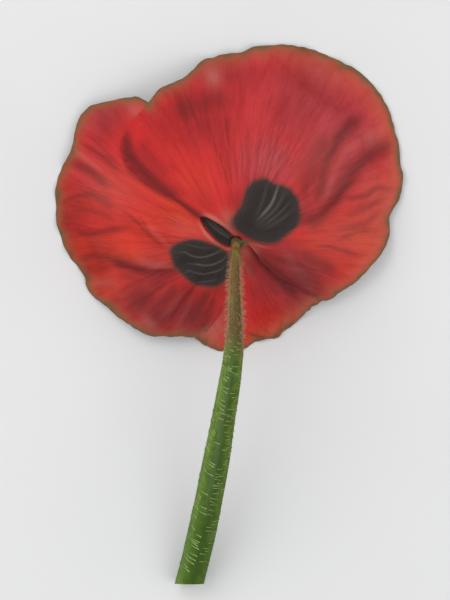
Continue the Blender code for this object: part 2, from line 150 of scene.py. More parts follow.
def bowlRadius(angle):
    return (
        bowl["meanRadius"]
        + bowl["offset"] * np.cos(angle - math.radians(bowl["offsetTurn"]))
        + bowl["stretch"] * np.cos(2.0 * (angle - math.radians(bowl["stretchTurn"])))
    )


# The height where it is well above the floor, the floor where it is well below.
def softFloor(height, floor):
    share = np.clip(0.5 + 0.5 * (height - floor) / bowl["floorBlend"], 0.0, 1.0)
    return floor + (height - floor) * share + bowl["floorBlend"] * share * (1.0 - share)


def bowlFolds(angle, share):
    height = np.zeros_like(angle)
    for inner, outer, width, size, fullest in bowl["folds"]:
        turn = inner + (outer - inner) * smoothStep(share, *bowl["foldTurning"])
        rising = smoothStep(share, bowl["foldStart"], fullest)
        fading = 1.0 - bowl["foldFade"] * smoothStep(share, fullest, bowl["foldEnd"])
        height = height + size * rising * fading * humpRound(angle, turn, width)
    return height


def bowlHeight(x, y, thickness):
    radius = np.hypot(x, y)
    angle = np.arctan2(y, x)
    share = radius / bowlRadius(angle)
    leaning = y * math.tan(math.radians(bowl["tilt"]))
    height = bowl["height"] * (1.0 - share ** bowl["power"])
    height = height + leaning * np.clip(1.0 - share, 0.0, 1.0) ** 2 + bowlFolds(angle, share)
    resting = sum(humpRound(angle, turn, bowl["restWidth"]) for turn in bowl["restTurns"])
    waves = sum(size * (1.0 + np.cos(count * angle + phase)) for count, size, phase in bowl["rimWaves"])
    height = height + waves * share ** bowl["wavePower"] * (1.0 - resting)
    height = height - bowl["restDip"] * share ** bowl["restPower"] * resting
    outwards = smoothStep(radius, bowl["flatRadius"], bowl["easedRadius"])
    height = (bowl["height"] + leaning) * (1.0 - outwards) + height * outwards
    return softFloor(height, 0.5 * (thickness + bowl["layerPitch"]))


# Points lifted off the bowl along its own normal.
def onBowl(x, y, offset, thickness):
    step = 0.05  # to either side, for measuring the slope
    slopeX = (bowlHeight(x + step, y, thickness) - bowlHeight(x - step, y, thickness)) / (2.0 * step)
    slopeY = (bowlHeight(x, y + step, thickness) - bowlHeight(x, y - step, thickness)) / (2.0 * step)
    steep = np.sqrt(1.0 + slopeX**2 + slopeY**2)
    return (
        x - offset * slopeX / steep,
        y - offset * slopeY / steep,
        bowlHeight(x, y, thickness) + offset / steep,
    )


# What all four petals share.
petalMake = {
    "thickness": 0.3,
    "columnsPerDegree": 1.35,
    "rows": 130,
    "wrinkle": 0.13,  # height of the fine pleats that run outwards
    "wrinkleFrom": (0.22, 0.85),  # shares of the way out between which they grow
    "pleats": (34, 80),  # the fewest and the most that would go round the flower
    "pleatPatches": (4, 12),  # the same for the patches where they stand out
    "pleatLeast": 0.35,  # what is left of them between the patches
    "flutter": 0.45,  # how much the very edge waves up and down
    "flutterWidth": 3.2,
    "flutters": (16, 44),
    "flutterMiddle": 0.75,  # above 0, so that the edge mostly lifts
    "nibble": 0.22,  # how uneven the edge is
    "nibbles": ((14, 48, 0.75), (60, 130, 0.25)),  # (fewest round, most round, share)
    "waveSlant": 0.045,  # radians that a wave may drift round for each millimetre outwards
    "overEase": 0.35,  # radians over which a petal climbs onto its neighbour...
    "overRadii": (3.0, 8.0),  # ...and the radii between which it does
    "freeEase": 0.12,  # radians over which a petal with nothing under it comes down...
    "freeShares": (0.8, 0.93),  # ...and the shares of the way out
    # Painted shade in the fold valleys: the deeper a fold's valley, the darker its colour.
    "valleyFrom": 0.15,  # folds deeper than this get darker...
    "valleyDepth": 1.2,  # ...down to this much further...
    "valleyShade": 0.12,  # ...by this much
    # How strong the painted highlights on fold ridges and the pale strips beside the spots are.
    "lightStrength": 0.8,
    "strokeEase": 2.6,  # a stroke fades at its ends over this length...
    "strokeEaseShare": 0.3,  # ...or this share of it, if that is less
    "rimWarmTurn": 10.0,  # the side where the rim fades into pale orange
    # how dusky the last few millimetres before the rim are, by angle
    "rimDusk": (
        (-60, 0.2), (-30, 0.0), (40, 0.0), (60, 0.45), (85, 0.8), (105, 0.9), (135, 1.0), (180, 1.0),
        (195, 0.7), (240, 0.5), (262, 0.3), (300, 0.2),
    ),
}

# One entry for each petal.
# reach is its outline, as (angle, radius). left and right are its side edges, as (radius, angle).
# level is its layer, 0 below and 1 above. From the angle overFrom on it lies one layer higher,
# over its neighbour. Between the two angles of free its rim comes down to the lower layer,
# because no petal lies under it there.
# fan says whether curved veins fan out over its spot, and byTongue whether the dark tongue is on it.
# rimFrom gives the first and last angle of the brown rim, and how quickly it fades there.
# dark, light and the spot's glints are strokes: (line as (radius, angle) pairs, width, strength).
# darkPatches, lightPatches, warm, blush and veins are patches:
# (radius, angle, length outwards, width across, strength).
# dark and darkPatches are painted shade in folds and dents and under overlapping margins, along with
# some darker streaks; light and lightPatches are painted highlights on fold ridges, along with pale
# strips beside the spots; the spot's glints are pale painted highlights along its veins.
# spotReach is the dark spot's outline round spotMiddle, as (angle, radius).
petals = {
    "petal_outer_right": {
        "reach": (
            (-36, 23.0), (-31, 26.9), (-25, 28.4), (-16, 31.8), (-13, 32.8), (-9, 34.0), (-6, 35.4),
            (0, 38.0), (6, 39.0), (9, 39.4), (12, 40.6), (15, 42.9), (18, 44.3), (22, 45.5), (25, 46.0),
            (30, 47.6), (38, 50.2), (46, 52.4), (52, 53.2), (60, 53.1), (68, 52.5), (75, 51.9),
            (83, 50.4), (90, 48.2), (97, 47.7), (100, 47.2), (103, 45.2), (107, 42.9), (113, 42.2),
            (117, 42.0), (120, 41.0), (122, 40.3), (126, 39.7), (131, 39.0), (134.5, 38.4),
            (138.5, 37.4), (141.5, 35.6), (144.5, 32.0),
        ),
        "left": (
            (1.5, 100), (2.45, 119), (4.6, 128.4), (6.8, 135), (8.7, 139.6), (10.3, 144), (16, 144.4),
            (22, 145.2), (27, 145.6), (32, 144.5),
        ),
        "right": ((1.5, 4), (3.0, -14), (6.0, -33), (10.0, -38), (17.7, -36.0), (24.0, -34)),
        "level": 1,
        "overFrom": 112,
        "free": (2, 104),
        "seed": 21,
        "fan": True,
        "byTongue": True,
        "rimFrom": (-40, 124, 2),
        "veins": (
            (23, 68, 8.0, 8.0, 0.8), (22, 96, 8.0, 6.0, 0.5), (34, 40, 8.0, 8.0, 0.3),
            (28, 4, 8.0, 8.0, 0.2),
        ),
        "warm": (
            (38, 22, 6.0, 7.0, 0.95), (28, 4, 12.0, 8.0, 1.0), (42, 6, 6.0, 9.0, 0.6),
            (18, 122, 8.0, 5.0, 0.45), (49, 50, 4.0, 30.0, 0.5), (18, 104, 6.0, 4.0, 0.3),
            (21, 56, 5.0, 6.0, 0.4),
        ),
        "dark": (
            (((17, 144), (22, 143.4), (27, 142.6), (31, 141.6), (34.5, 139.5), (38.2, 135.5)), 2.5, 0.9),
            (((9, 142.5), (13, 143), (19, 143.6), (24, 143)), 1.2, 0.9),
            (((22, 139), (28, 137), (34, 133)), 3.4, 0.45),
            (
                ((22, 30), (25, 33), (28, 39), (31, 43), (34.5, 45.2), (38, 46), (42, 46), (45, 46)),
                2.2, 0.66,
            ),
            (((19, 30), (22.5, 41.5), (27.5, 47), (34.5, 48.5)), 3.2, 0.5),
            (
                ((17, 18.5), (20.3, 16.5), (23.5, 20.2), (26.8, 24.6), (30, 28.8), (33, 31.6), (36.5, 33)),
                2.6, 0.72,
            ),
            (((30, 28.8), (33.5, 32), (38.5, 33.6), (42, 33.4), (46.5, 32.9)), 2.3, 0.64),
            (((15.5, 22), (18.5, 19), (22, 19.5)), 2.8, 0.5),
            (((29, 21.5), (31.5, 20.5), (34, 20), (38, 21.3), (42, 18.7)), 0.75, 0.55),
            (((29, 14.5), (31.5, 15.2), (35, 15.8), (39.5, 17.3)), 0.8, 0.42),
            (((28, 8), (31.5, 9.2), (37, 11.9)), 0.9, 0.38),
            (((26, 3.5), (28.5, 5), (34, 5.5)), 0.8, 0.42),
            (((20, -1.5), (22.5, -2.4), (26, -3.9), (30, -4.9)), 0.6, 0.6),
            (((29, 101), (34, 98.5), (40, 96)), 1.6, 0.4),
            (((4, -30), (9.5, -34), (15, -36), (21, -35), (25, -33)), 2.6, 0.92),
            (((4, -24), (9, -22), (14, -19), (19, -18)), 2.2, 0.75),
            (((15, -10), (19, -12.5), (25.5, -15)), 2.4, 0.66),
        ),
        "darkPatches": (
            (35.0, 109, 5.5, 4.8, 0.75), (35.5, 98, 5.0, 4.5, 0.62), (30, 104, 6.5, 7.5, 0.5),
            (33, 122, 8.0, 5.5, 0.34), (34.5, 103.5, 5.5, 4.0, 0.66), (36, 68, 9.0, 6.0, 0.26),
            (45, 68, 6.0, 12.0, 0.32), (42, 94, 6.0, 9.0, 0.42), (12, 127, 7.0, 3.0, 0.26),
            (9, 88, 5.0, 2.4, 0.45), (19, -28, 7.0, 6.0, 0.8), (14, -18, 7.0, 4.5, 0.62),
            (24, -24, 4.0, 5.0, 0.38),
        ),
        "light": (
            (((23, 27), (26.5, 31), (30, 35.7), (34, 38.6), (38, 39.5), (41, 39.3)), 1.3, 0.22),
            (((11, -6), (15, -20), (19, -27), (23, -31)), 1.7, 0.13),
            (((2.7, 106), (5.4, 122), (7.9, 130.6), (9.8, 136)), 0.55, 0.8),
            (((2.5, -4), (5, -5), (7, -8)), 0.3, 0.55),
        ),
        "lightPatches": (
            (42.3, 98, 3.4, 2.2, 0.6), (43.5, 38, 3.0, 3.0, 0.35), (48, 62, 2.5, 6.0, 0.2),
            (5.0, 108, 3.0, 2.0, 0.55), (27, 3, 11.0, 6.0, 0.2), (37, 14, 9.0, 8.0, 0.17),
            (30, 42, 8.0, 8.0, 0.17), (24, 72, 6.0, 8.0, 0.08), (3.4, -25, 2.2, 1.7, 0.6),
        ),
        "blush": (
            (40, 52, 15.0, 24.0, 0.8), (21, 66, 8.0, 9.0, 0.85), (28, 30, 9.0, 6.0, 0.7),
            (44, 84, 8.0, 12.0, 0.35), (20, 24, 4.0, 5.0, 0.6), (16, -22, 8.0, 5.0, 0.7),
        ),
        "spotMiddle": (8.0, 7.75),
        "spotReach": (
            (9, 7.6), (42, 7.4), (62, 6.95), (82, 6.85), (97, 7.9), (112, 8.1), (131, 7.8), (154, 6.9),
            (180, 7.5), (195, 9.3), (204, 9.5), (215, 9.1), (230, 8.4), (250, 8.0), (287, 7.7),
            (304, 7.3), (330, 7.5),
        ),
        "spotGlints": (
            (((8.6, 47), (12, 47.5), (17.2, 53.5)), 0.34, 0.62),
            (((7.5, 40), (12, 41), (16.5, 46)), 0.4, 0.2),
            (((8.0, 33), (12, 34), (16.5, 38)), 0.4, 0.2),
            (((8.0, 26), (12, 27), (15.5, 30)), 0.4, 0.14),
            (((9.0, 55), (12, 58), (16.0, 62)), 0.4, 0.14),
        ),
    },
    "petal_outer_left": {
        "reach": (
            (114, 35.0), (118, 38.3), (121, 40.4), (122.4, 41.9), (123.4, 43.5), (126, 44.6),
            (130, 46.8), (135, 49.5), (138, 50.6), (142, 50.3), (145, 49.3), (150, 47.9), (160, 48.0),
            (168, 46.5), (176, 44.8), (182, 43.0), (186, 41.6), (189, 39.8), (192, 39.1), (195, 39.4),
            (198, 39.0), (202, 38.0), (206, 36.5), (210, 35.8), (216, 34.3), (220, 33.3), (226, 31.6),
            (231, 29.7), (235, 27.9), (238, 26.8), (241, 26.3), (245, 25.3), (250, 23.2),
        ),
        "left": ((1.5, 256), (5.0, 262), (10.6, 262), (15.2, 259.5), (24.2, 249.5)),
        "right": (
            (1.5, 215), (2.1, 212), (3.35, 185.5), (4.75, 166.7), (6.35, 155.4), (7.55, 148.6),
            (8.4, 142.5), (10.5, 136), (16, 128), (30, 118),
        ),
        "level": 1,
        "overFrom": None,
        "free": (150, 222),
        "seed": 33,
        "fan": False,
        "byTongue": True,
        "rimFrom": (110, 262, 2),
        "veins": ((17, 170, 7.0, 6.0, 0.4), (34, 160, 8.0, 10.0, 0.3)),
        "warm": ((30, 180, 20.0, 19.0, 0.7), (20, 165, 12.0, 9.0, 0.9), (33, 198, 6.0, 4.5, 0.7)),
        "dark": (
            (((35, 148), (37.5, 147), (41.5, 146.6), (45.5, 146.8)), 0.75, 0.6),
            (((35, 146), (40, 144.5), (44.5, 144)), 0.6, 0.45),
            (((34.5, 156.4), (37, 155.2), (41, 154), (46, 153.3)), 1.5, 0.66),
            (((32, 163), (34.5, 161.8), (37.5, 161.4), (42, 163.6), (45.5, 167)), 1.3, 0.64),
            (((31, 168.2), (35, 167.2), (39, 167.9), (44, 170.4)), 0.9, 0.45),
            (((28, 173), (32, 174.6), (36.5, 176.4), (42, 175.8)), 1.15, 0.66),
            (((17, 187), (21, 175.5), (24, 169), (29, 163.8)), 0.5, 0.55),
            (((16, 186.5), (19.3, 178), (24, 165.5)), 0.45, 0.5),
            (
                ((14, 205), (17.5, 203.5), (20.5, 202), (23, 199), (25, 195.5), (27.5, 191.5), (31.5, 187)),
                2.5, 0.78,
            ),
            (((26, 192.5), (29.5, 187.8), (32, 185.6), (34, 184.8), (36.5, 185), (40, 186)), 1.7, 0.66),
            (((15, 211), (21, 206), (25.5, 201), (30, 195)), 2.2, 0.5),
            (((13, 247), (18, 249.5), (24, 248)), 1.5, 0.66),
            (((13, 238), (18, 238.8), (24, 238.5)), 1.5, 0.8),
            (((14, 226), (20, 227.5), (26.5, 230)), 1.7, 0.78),
            (((17, 216), (22, 218.5), (29, 218.5)), 1.7, 0.74),
            (((23, 209), (28, 210), (33, 211)), 1.5, 0.62),
            (((19, 146.6), (26, 146.8), (32, 145.4), (37, 140.4)), 0.6, 0.5),
        ),
        "darkPatches": (
            (20, 234, 7.5, 8.5, 0.74), (26, 222, 6.5, 6.5, 0.7), (44, 136.5, 4.5, 5.5, 0.42),
            (24, 246, 2.5, 3.0, 0.5), (27.5, 212, 6.5, 7.0, 0.68), (35.5, 186, 6.0, 9.0, 0.42),
            (41.5, 171, 4.5, 9.0, 0.5), (12, 250, 4.0, 4.0, 0.5), (18.5, 183, 5.0, 4.5, 0.28),
            (18, 163, 6.0, 3.0, 0.15), (21.5, 205.5, 4.5, 3.2, 0.62), (33, 207, 3.5, 6.0, 0.4),
            (37, 195, 3.0, 9.0, 0.3), (30, 226, 3.5, 7.0, 0.35),
        ),
        "light": (
            (((15.5, 201), (18, 197.5), (21, 194.2), (24.5, 189.5)), 1.0, 0.3),
            (((37, 152), (42, 150.8), (47, 150)), 0.8, 0.3),
            (((16.5, 182), (19, 174), (22, 168.5)), 0.9, 0.22),
            (((32, 197), (36, 196), (39, 195)), 1.2, 0.25),
            (((18, 222), (22, 224), (26, 224)), 0.6, 0.15),
            (((17, 232.5), (21, 233.5), (25, 234.5)), 0.6, 0.12),
            (((2.3, 229), (3.8, 197), (5.9, 174), (8.2, 160.5), (9.9, 152.5)), 0.5, 0.85),
        ),
        "lightPatches": (
            (29.6, 222.5, 1.6, 2.2, 0.36), (40.5, 127, 3.0, 2.0, 0.45), (38, 122, 3.0, 2.0, 0.35),
            (33, 156, 8.0, 6.0, 0.22), (12, 166, 5.0, 3.0, 0.2),
        ),
        "blush": (
            (46, 136, 5.0, 9.0, 0.6), (42, 152, 5.0, 8.0, 0.35), (24, 236, 5.0, 9.0, 0.5),
            (22, 196, 5.0, 4.0, 0.5), (26, 216, 8.0, 9.0, 0.55),
        ),
        "spotMiddle": (-8.5, -4.75),
        "spotReach": (
            (0, 7.4), (14, 7.2), (26, 6.35), (52, 5.35), (82, 5.3), (100, 5.7), (128, 6.8), (148, 7.9),
            (162, 7.9), (178, 7.0), (200, 5.9), (229, 5.3), (260, 5.6), (289, 6.1), (315, 7.1),
            (334, 7.5),
        ),
        "spotGlints": (
            (((4.2, 207), (8.4, 203), (12.9, 190)), 0.22, 0.4),
            (((4.8, 233), (9.4, 215), (12.6, 202.5)), 0.22, 0.42),
            (((7.0, 241), (10.6, 224), (13.3, 211)), 0.22, 0.36),
            (((6.5, 190), (9.5, 186), (12.0, 181)), 0.22, 0.16),
            (((10.0, 240), (12.0, 232), (14.0, 222)), 0.22, 0.2),
        ),
    },
    "petal_inner_upper": {
        "reach": (
            (76, 31.0), (84, 35.0), (98, 37.5), (114, 36.0), (130, 36.0), (146, 34.5), (160, 32.5),
            (170, 30.0), (178, 26.0),
        ),
        "left": ((1.5, 218), (2.5, 210), (4.0, 194), (6.0, 185), (12.0, 182), (30.0, 178)),
        "right": ((1.5, 100), (5.0, 86), (12.0, 76), (34.0, 76)),
        "level": 0,
        "overFrom": None,
        "free": None,
        "seed": 45,
        "fan": False,
        "byTongue": True,
        "rimFrom": (70, 190, 2),
        "veins": (),
        "warm": ((9, 145, 5.0, 4.0, 1.0),),
        "dark": (
            (((14, 118), (24, 118), (33, 117)), 1.5, 0.4),
            (((14, 150), (22, 152), (30, 152)), 1.5, 0.4),
        ),
        "darkPatches": (),
        "light": (),
        "lightPatches": (),
        "blush": ((26, 120, 10.0, 14.0, 0.4),),
        "spotMiddle": None,
        "spotReach": (),
        "spotGlints": (
            (((2.0, 152), (5.0, 149), (9.2, 143.5)), 0.14, 0.4),
            (((2.0, 140), (5.0, 142), (9.0, 139.5)), 0.14, 0.25),
        ),
    },
    "petal_inner_lower": {
        "reach": (
            (232, 22.0), (240, 24.8), (246, 26.2), (251, 26.5), (259, 27.4), (268, 26.9), (275, 26.7),
            (279, 25.6), (285, 25.2), (291, 25.8), (296, 25.6), (300, 25.2), (310, 25.1), (318, 25.2),
            (323, 25.9), (330, 26.4), (342, 25.4), (350, 22.0),
        ),
        "left": ((1.5, 346), (4.0, 356), (12.0, 357), (24.0, 350)),
        "right": ((1.5, 262), (5.0, 246), (12.0, 234), (24.0, 232)),
        "level": 0,
        "overFrom": None,
        "free": None,
        "seed": 57,
        "fan": False,
        "byTongue": False,
        "rimFrom": (225, 360, 2),
        "veins": ((20, 256, 6.0, 5.0, 0.3), (20, 300, 6.0, 8.0, 0.25)),
        "warm": ((24, 300, 3.0, 20.0, 0.9),),
        "dark": (
            (((3, -31), (9.5, -38), (15, -41), (21.5, -40)), 2.6, 0.92),
            (((3, -48), (8, -52), (13, -52), (18, -48)), 2.8, 0.6),
            (((23.0, 280), (24.4, 284), (25.6, 291)), 0.8, 0.85),
            (((12, 297), (17, 299), (22, 301)), 1.2, 0.2),
        ),
        "darkPatches": (
            (7.5, -58, 4.2, 3.0, 0.72), (13, -62, 6.0, 4.0, 0.45), (20, -41, 5.0, 4.5, 0.66),
            (18, -55, 7.0, 6.0, 0.24),
        ),
        "light": ((((11, -6), (15, -20), (19, -27), (23, -31)), 1.7, 0.13),),
        "lightPatches": (
            (22.5, 254, 5.0, 3.4, 0.62), (24.5, -43, 2.0, 4.0, 0.25), (3.2, -48, 2.2, 1.1, 0.38),
            (24.2, -57, 1.8, 5.0, 0.22), (7.0, -66, 3.2, 1.0, 0.2),
        ),
        "blush": ((20, 256, 8.0, 5.0, 0.3), (16, -38, 8.0, 5.0, 0.6)),
        "spotMiddle": None,
        "spotReach": (),
        "spotGlints": (),
    },
}


# How far the petal lies off the bowl at each place, by the layer it is in there.
def layerOffset(petal, angle, radius):
    level = petal["level"] * np.ones_like(angle)
    if petal["overFrom"] is not None:
        over = math.radians(petal["overFrom"])
        climbed = smoothStep(angle, over - petalMake["overEase"], over)
        level = level + climbed * smoothStep(radius, *petalMake["overRadii"])
    if petal["free"] is not None:
        first, last = (math.radians(limit) for limit in petal["free"])
        ease = petalMake["freeEase"]
        inside = plateau(angle, first - ease, first + ease, last - ease, last + ease)
        level = level * (1.0 - inside * smoothStep(radius / bowlRadius(angle), *petalMake["freeShares"]))
    apart = smoothStep(radius, *bowl["rootEase"])
    level = level * (bowl["rootLevel"] + (1.0 - bowl["rootLevel"]) * apart)
    return bowl["layerPitch"] * (level - 0.5)


# Uneven waves round the flower: a few sines of nearby counts, with drawn phases.
def ripples(angle, radius, draw, fewest, most, sines=9):
    total = np.zeros_like(angle)
    for _ in range(sines):
        turns = draw.uniform(fewest, most)
        slant = draw.uniform(-petalMake["waveSlant"], petalMake["waveSlant"])
        total = total + np.sin(turns * angle + slant * turns * radius + draw.uniform(0, 2 * math.pi))
    return total / math.sqrt(sines)


def strokeShade(strokes, angle, radius):
    shade = np.zeros_like(angle)
    for line, width, strength in strokes:
        start, end = line[0][0], line[-1][0]
        ease = min(petalMake["strokeEase"], petalMake["strokeEaseShare"] * (end - start))
        away = wrapped(angle - np.radians(splineThrough(line)(radius))) * radius
        shown = plateau(radius, start - ease, start + ease, end - ease, end + ease)
        shade = np.maximum(shade, strength * shown * hump(away, width))
    return shade


def patchShade(patches, angle, radius):
    shade = np.zeros_like(angle)
    for middle, turn, length, width, strength in patches:
        away = wrapped(angle - math.radians(turn)) * radius
        shade = np.maximum(shade, strength * hump(radius - middle, length) * hump(away, width))
    return shade


# How far inside the dark spot a point is: 1 in its middle, 0 on its edge, below 0 outside.
def spotDepth(middle, spotReach, angle, radius):
    if middle is None:
        return np.full_like(angle, -1.0)
    fromX = radius * np.cos(angle) - middle[0]
    fromY = radius * np.sin(angle) - middle[1]
    laps = [(turn + lap, reach) for lap in (-360, 0, 360) for turn, reach in spotReach]
    edge = splineThrough(laps)(np.degrees(np.arctan2(fromY, fromX)) % 360.0)
    return 1.0 - np.hypot(fromX, fromY) / edge


# The narrow dark tongue where three petals meet. Its turn is the way it points.
tongue = {
    "middle": (-4.5, 2.75),
    "turn": 139.0,
    "halfLength": 5.3,
    "halfWidth": 1.75,
    "taper": 0.25,  # how much narrower it gets towards its tip
}


def tongueDepth(angle, radius):
    turned = math.radians(tongue["turn"])
    fromX = radius * np.cos(angle) - tongue["middle"][0]
    fromY = radius * np.sin(angle) - tongue["middle"][1]
    along = (fromX * math.cos(turned) + fromY * math.sin(turned)) / tongue["halfLength"]
    width = tongue["halfWidth"] * (1.0 - tongue["taper"] * np.clip(along, -1.0, 1.0))
    across = (fromY * math.cos(turned) - fromX * math.sin(turned)) / width
    return 1.0 - np.hypot(along, across)


# The curved veins that fan out over the larger spot.
veinFan = {
    "seed": 3,
    "first": 60.0,
    "last": 101.0,
    "count": 9,
    "stray": 1.0,
    "radii": (14.0, 20.0, 30.0),
    "bend": (-2.0, 0.0, 3.5),  # degrees each one leans at those radii
    "width": 0.42,
    "strength": 0.36,
    "strengthSpread": (0.7, 1.1),
}


def veinFanStrokes():
    draw = np.random.default_rng(veinFan["seed"])
    strokes = []
    for middle in np.linspace(veinFan["first"], veinFan["last"], veinFan["count"]):
        turn = middle + draw.uniform(-veinFan["stray"], veinFan["stray"])
        line = tuple((radius, turn + lean) for radius, lean in zip(veinFan["radii"], veinFan["bend"]))
        strength = veinFan["strength"] * draw.uniform(*veinFan["strengthSpread"])
        strokes.append((line, veinFan["width"], strength))
    return strokes


# The dark spot on the inner face of every petal. Its reach is (angle from the petal's middle, radius).
insideSpot = {
    "fromReceptacle": 8.0,
    "reach": ((0, 8.2), (40, 9.4), (90, 8.6), (140, 7.6), (180, 7.4), (220, 7.6), (270, 8.6), (320, 9.4)),
}


def insideSpotDepth(petal, angle, radius):
    petalMiddle = 0.5 * (petal["reach"][0][0] + petal["reach"][-1][0])
    turned = math.radians(petalMiddle)
    away = insideSpot["fromReceptacle"]
    reach = sorted(((petalMiddle + side) % 360, size) for side, size in insideSpot["reach"])
    return spotDepth((away * math.cos(turned), away * math.sin(turned)), reach, angle, radius)


def newMaterial(name):
    made = bpy.data.materials.new(name)
    made.use_nodes = True
    return made, made.node_tree, made.node_tree.nodes["Principled BSDF"]


def attributeNode(tree, name):
    node = tree.nodes.new("ShaderNodeAttribute")
    node.attribute_name = name
    return node.outputs["Fac"]


# Sets a socket to a number or a colour, or links it to another node's output.
def feed(tree, socket, value):
    if isinstance(value, (int, float)):
        socket.default_value = value
    elif isinstance(value, tuple):
        socket.default_value = (*value, 1.0)
    else:
        tree.links.new(value, socket)


def mathNode(tree, kind, first, second, clamp=False):
    node = tree.nodes.new("ShaderNodeMath")
    node.operation = kind
    node.use_clamp = clamp
    feed(tree, node.inputs[0], first)
    feed(tree, node.inputs[1], second)
    return node.outputs[0]


def times(tree, first, second, clamp=False):
    return mathNode(tree, "MULTIPLY", first, second, clamp)


# The first value and a share of the second.
def layered(tree, first, second, share):
    return mathNode(tree, "ADD", first, times(tree, second, share))


# A value made uneven by noise, by up to half the amount either way.
def wavered(tree, value, noise, amount):
    return layered(tree, value, mathNode(tree, "SUBTRACT", noise, 0.5), amount)


def rangeNode(tree, value, low, high, toLow=0.0, toHigh=1.0):
    node = tree.nodes.new("ShaderNodeMapRange")
    node.interpolation_type = "SMOOTHSTEP"
    tree.links.new(value, node.inputs["Value"])
    node.inputs["From Min"].default_value = low
    node.inputs["From Max"].default_value = high
    node.inputs["To Min"].default_value = toLow
    node.inputs["To Max"].default_value = toHigh
    return node.outputs["Result"]


def mixNode(tree, factor, first, second):
    node = tree.nodes.new("ShaderNodeMix")
    node.data_type = "RGBA"
    feed(tree, node.inputs[0], factor)
    feed(tree, node.inputs[6], first)
    feed(tree, node.inputs[7], second)
    return node.outputs[2]


def noiseNode(tree, vector, scale, detail, rough=0.5):
    node = tree.nodes.new("ShaderNodeTexNoise")
    node.inputs["Scale"].default_value = scale
    node.inputs["Detail"].default_value = detail
    node.inputs["Roughness"].default_value = rough
    tree.links.new(vector, node.inputs["Vector"])
    return node.outputs["Fac"]


# Noise in the object's own space. Its settings are (scale, detail, roughness).
def surfaceNoise(tree, settings):
    return noiseNode(tree, tree.nodes.new("ShaderNodeTexCoord").outputs["Object"], *settings)


# A bump of the given strength, its depth in millimetres.
def bumpNode(tree, height, strength, depth):
    node = tree.nodes.new("ShaderNodeBump")
    node.inputs["Strength"].default_value = strength
    node.inputs["Distance"].default_value = depth * mm
    tree.links.new(height, node.inputs["Height"])
    return node.outputs["Normal"]


# Noise on two attributes at different scales, which stretches it into streaks.
def streakNoise(tree, across, acrossScale, along, alongScale, seed, settings):
    node = tree.nodes.new("ShaderNodeCombineXYZ")
    tree.links.new(times(tree, attributeNode(tree, across), acrossScale), node.inputs[0])
    tree.links.new(times(tree, attributeNode(tree, along), alongScale), node.inputs[1])
    node.inputs[2].default_value = seed
    return noiseNode(tree, node.outputs[0], *settings)


petalSkin = {
    "bright": (0.74, 0.030, 0.029),
    "orange": (0.80, 0.080, 0.030),
    "paleOrange": (0.66, 0.150, 0.088),
    "blush": (0.52, 0.070, 0.085),
    "deep": (0.40, 0.014, 0.016),
    # maroon colours the darker streaks and the painted shade of the folds.
    "maroon": (0.150, 0.017, 0.018),
    "plum": (0.20, 0.018, 0.035),
    # peach colours the pale veins and, fading to beige near the receptacle, the painted highlights and pale
    # strips.
    "peach": (0.64, 0.225, 0.175),
    "beige": (0.46, 0.25, 0.17),  # the peach turns into this close to the receptacle
    "rim": (0.225, 0.118, 0.055),
    "rimFade": (0.37, 0.120, 0.058),
    "rimDusk": (0.27, 0.115, 0.052),
    "black": (0.034, 0.025, 0.022),
    "greyBlack": (0.085, 0.072, 0.066),
    # pale grey glints painted along the dark spot's veins, a painted highlight
    "spotGlint": (0.24, 0.22, 0.21),
    "spotHalo": (0.17, 0.055, 0.040),
    "grainShade": (0.0, 0.0, 0.0),
    "sheen": (1.0, 0.62, 0.58),
    "sheenWeight": 0.02,
    "sheenRoughness": 0.5,
    "specular": 0.12,
    "throughLight": 0.10,
    "grain": (2600.0, 2.0, 0.6),
    # streaks that run outwards: (how fine round the flower, how fine outwards, seed, noise)
    "broadStreaks": (2.2, 0.05, 0.0, (1.0, 3.0, 0.55)),
    "fineStreaks": (17.0, 0.10, 3.1, (1.0, 3.0, 0.55)),
    "hairStreaks": (75.0, 0.16, 7.7, (1.0, 2.0, 0.6)),
    # how a noise fades something in: (noise from, noise to, least, most)
    "warmPatchy": (0.36, 0.62, 0.35, 1.0),
    "deepStreaks": (0.42, 0.72, 0.0, 0.40),
    "maroonHairs": (0.50, 0.74, 0.0, 0.16),
    "paleVeins": (0.46, 0.30, 0.0, 0.22),
    "plumVeins": (0.50, 0.66, 0.0, 0.55),
    "darkBroken": (0.30, 0.62, 0.90, 1.04),
    "spotHairs": (0.45, 0.75, 0.0, 0.35),
    "spotGlintsBroken": (0.25, 0.6, 0.5, 1.0),
    "grainDark": (0.2, 0.8, 0.0, 0.10),
    "grainRough": (0.3, 0.7, 0.58, 0.76),
    # the same by distance from the petal's edge, once that is made uneven
    "edgeWaver": 3.0,  # millimetres
    "warmEdge": (6.5, 1.0, 0.0, 0.5),
    "duskEdge": (4.4, 0.4, 0.0, 0.5),
    "fadeEdge": (2.9, 0.2, 0.0, 0.62),
    "rimEdge": (1.35, 0.1, 0.0, 1.0),
    "beigeUntil": (4.0, 12.0),  # from the receptacle
    # the same by depth inside the spot
    "spotWaver": 0.22,  # how uneven its edge is
    "haloDepth": (-0.22, 0.02, 0.0, 0.50),
    "spotEdge": (-0.09, 0.09),
    "spotOuter": (0.40, 0.05, 0.0, 0.22),
    "bumpGrain": 0.35,  # share of the grain in the bump
    "bump": (0.35, 0.12),  # strength and depth
}


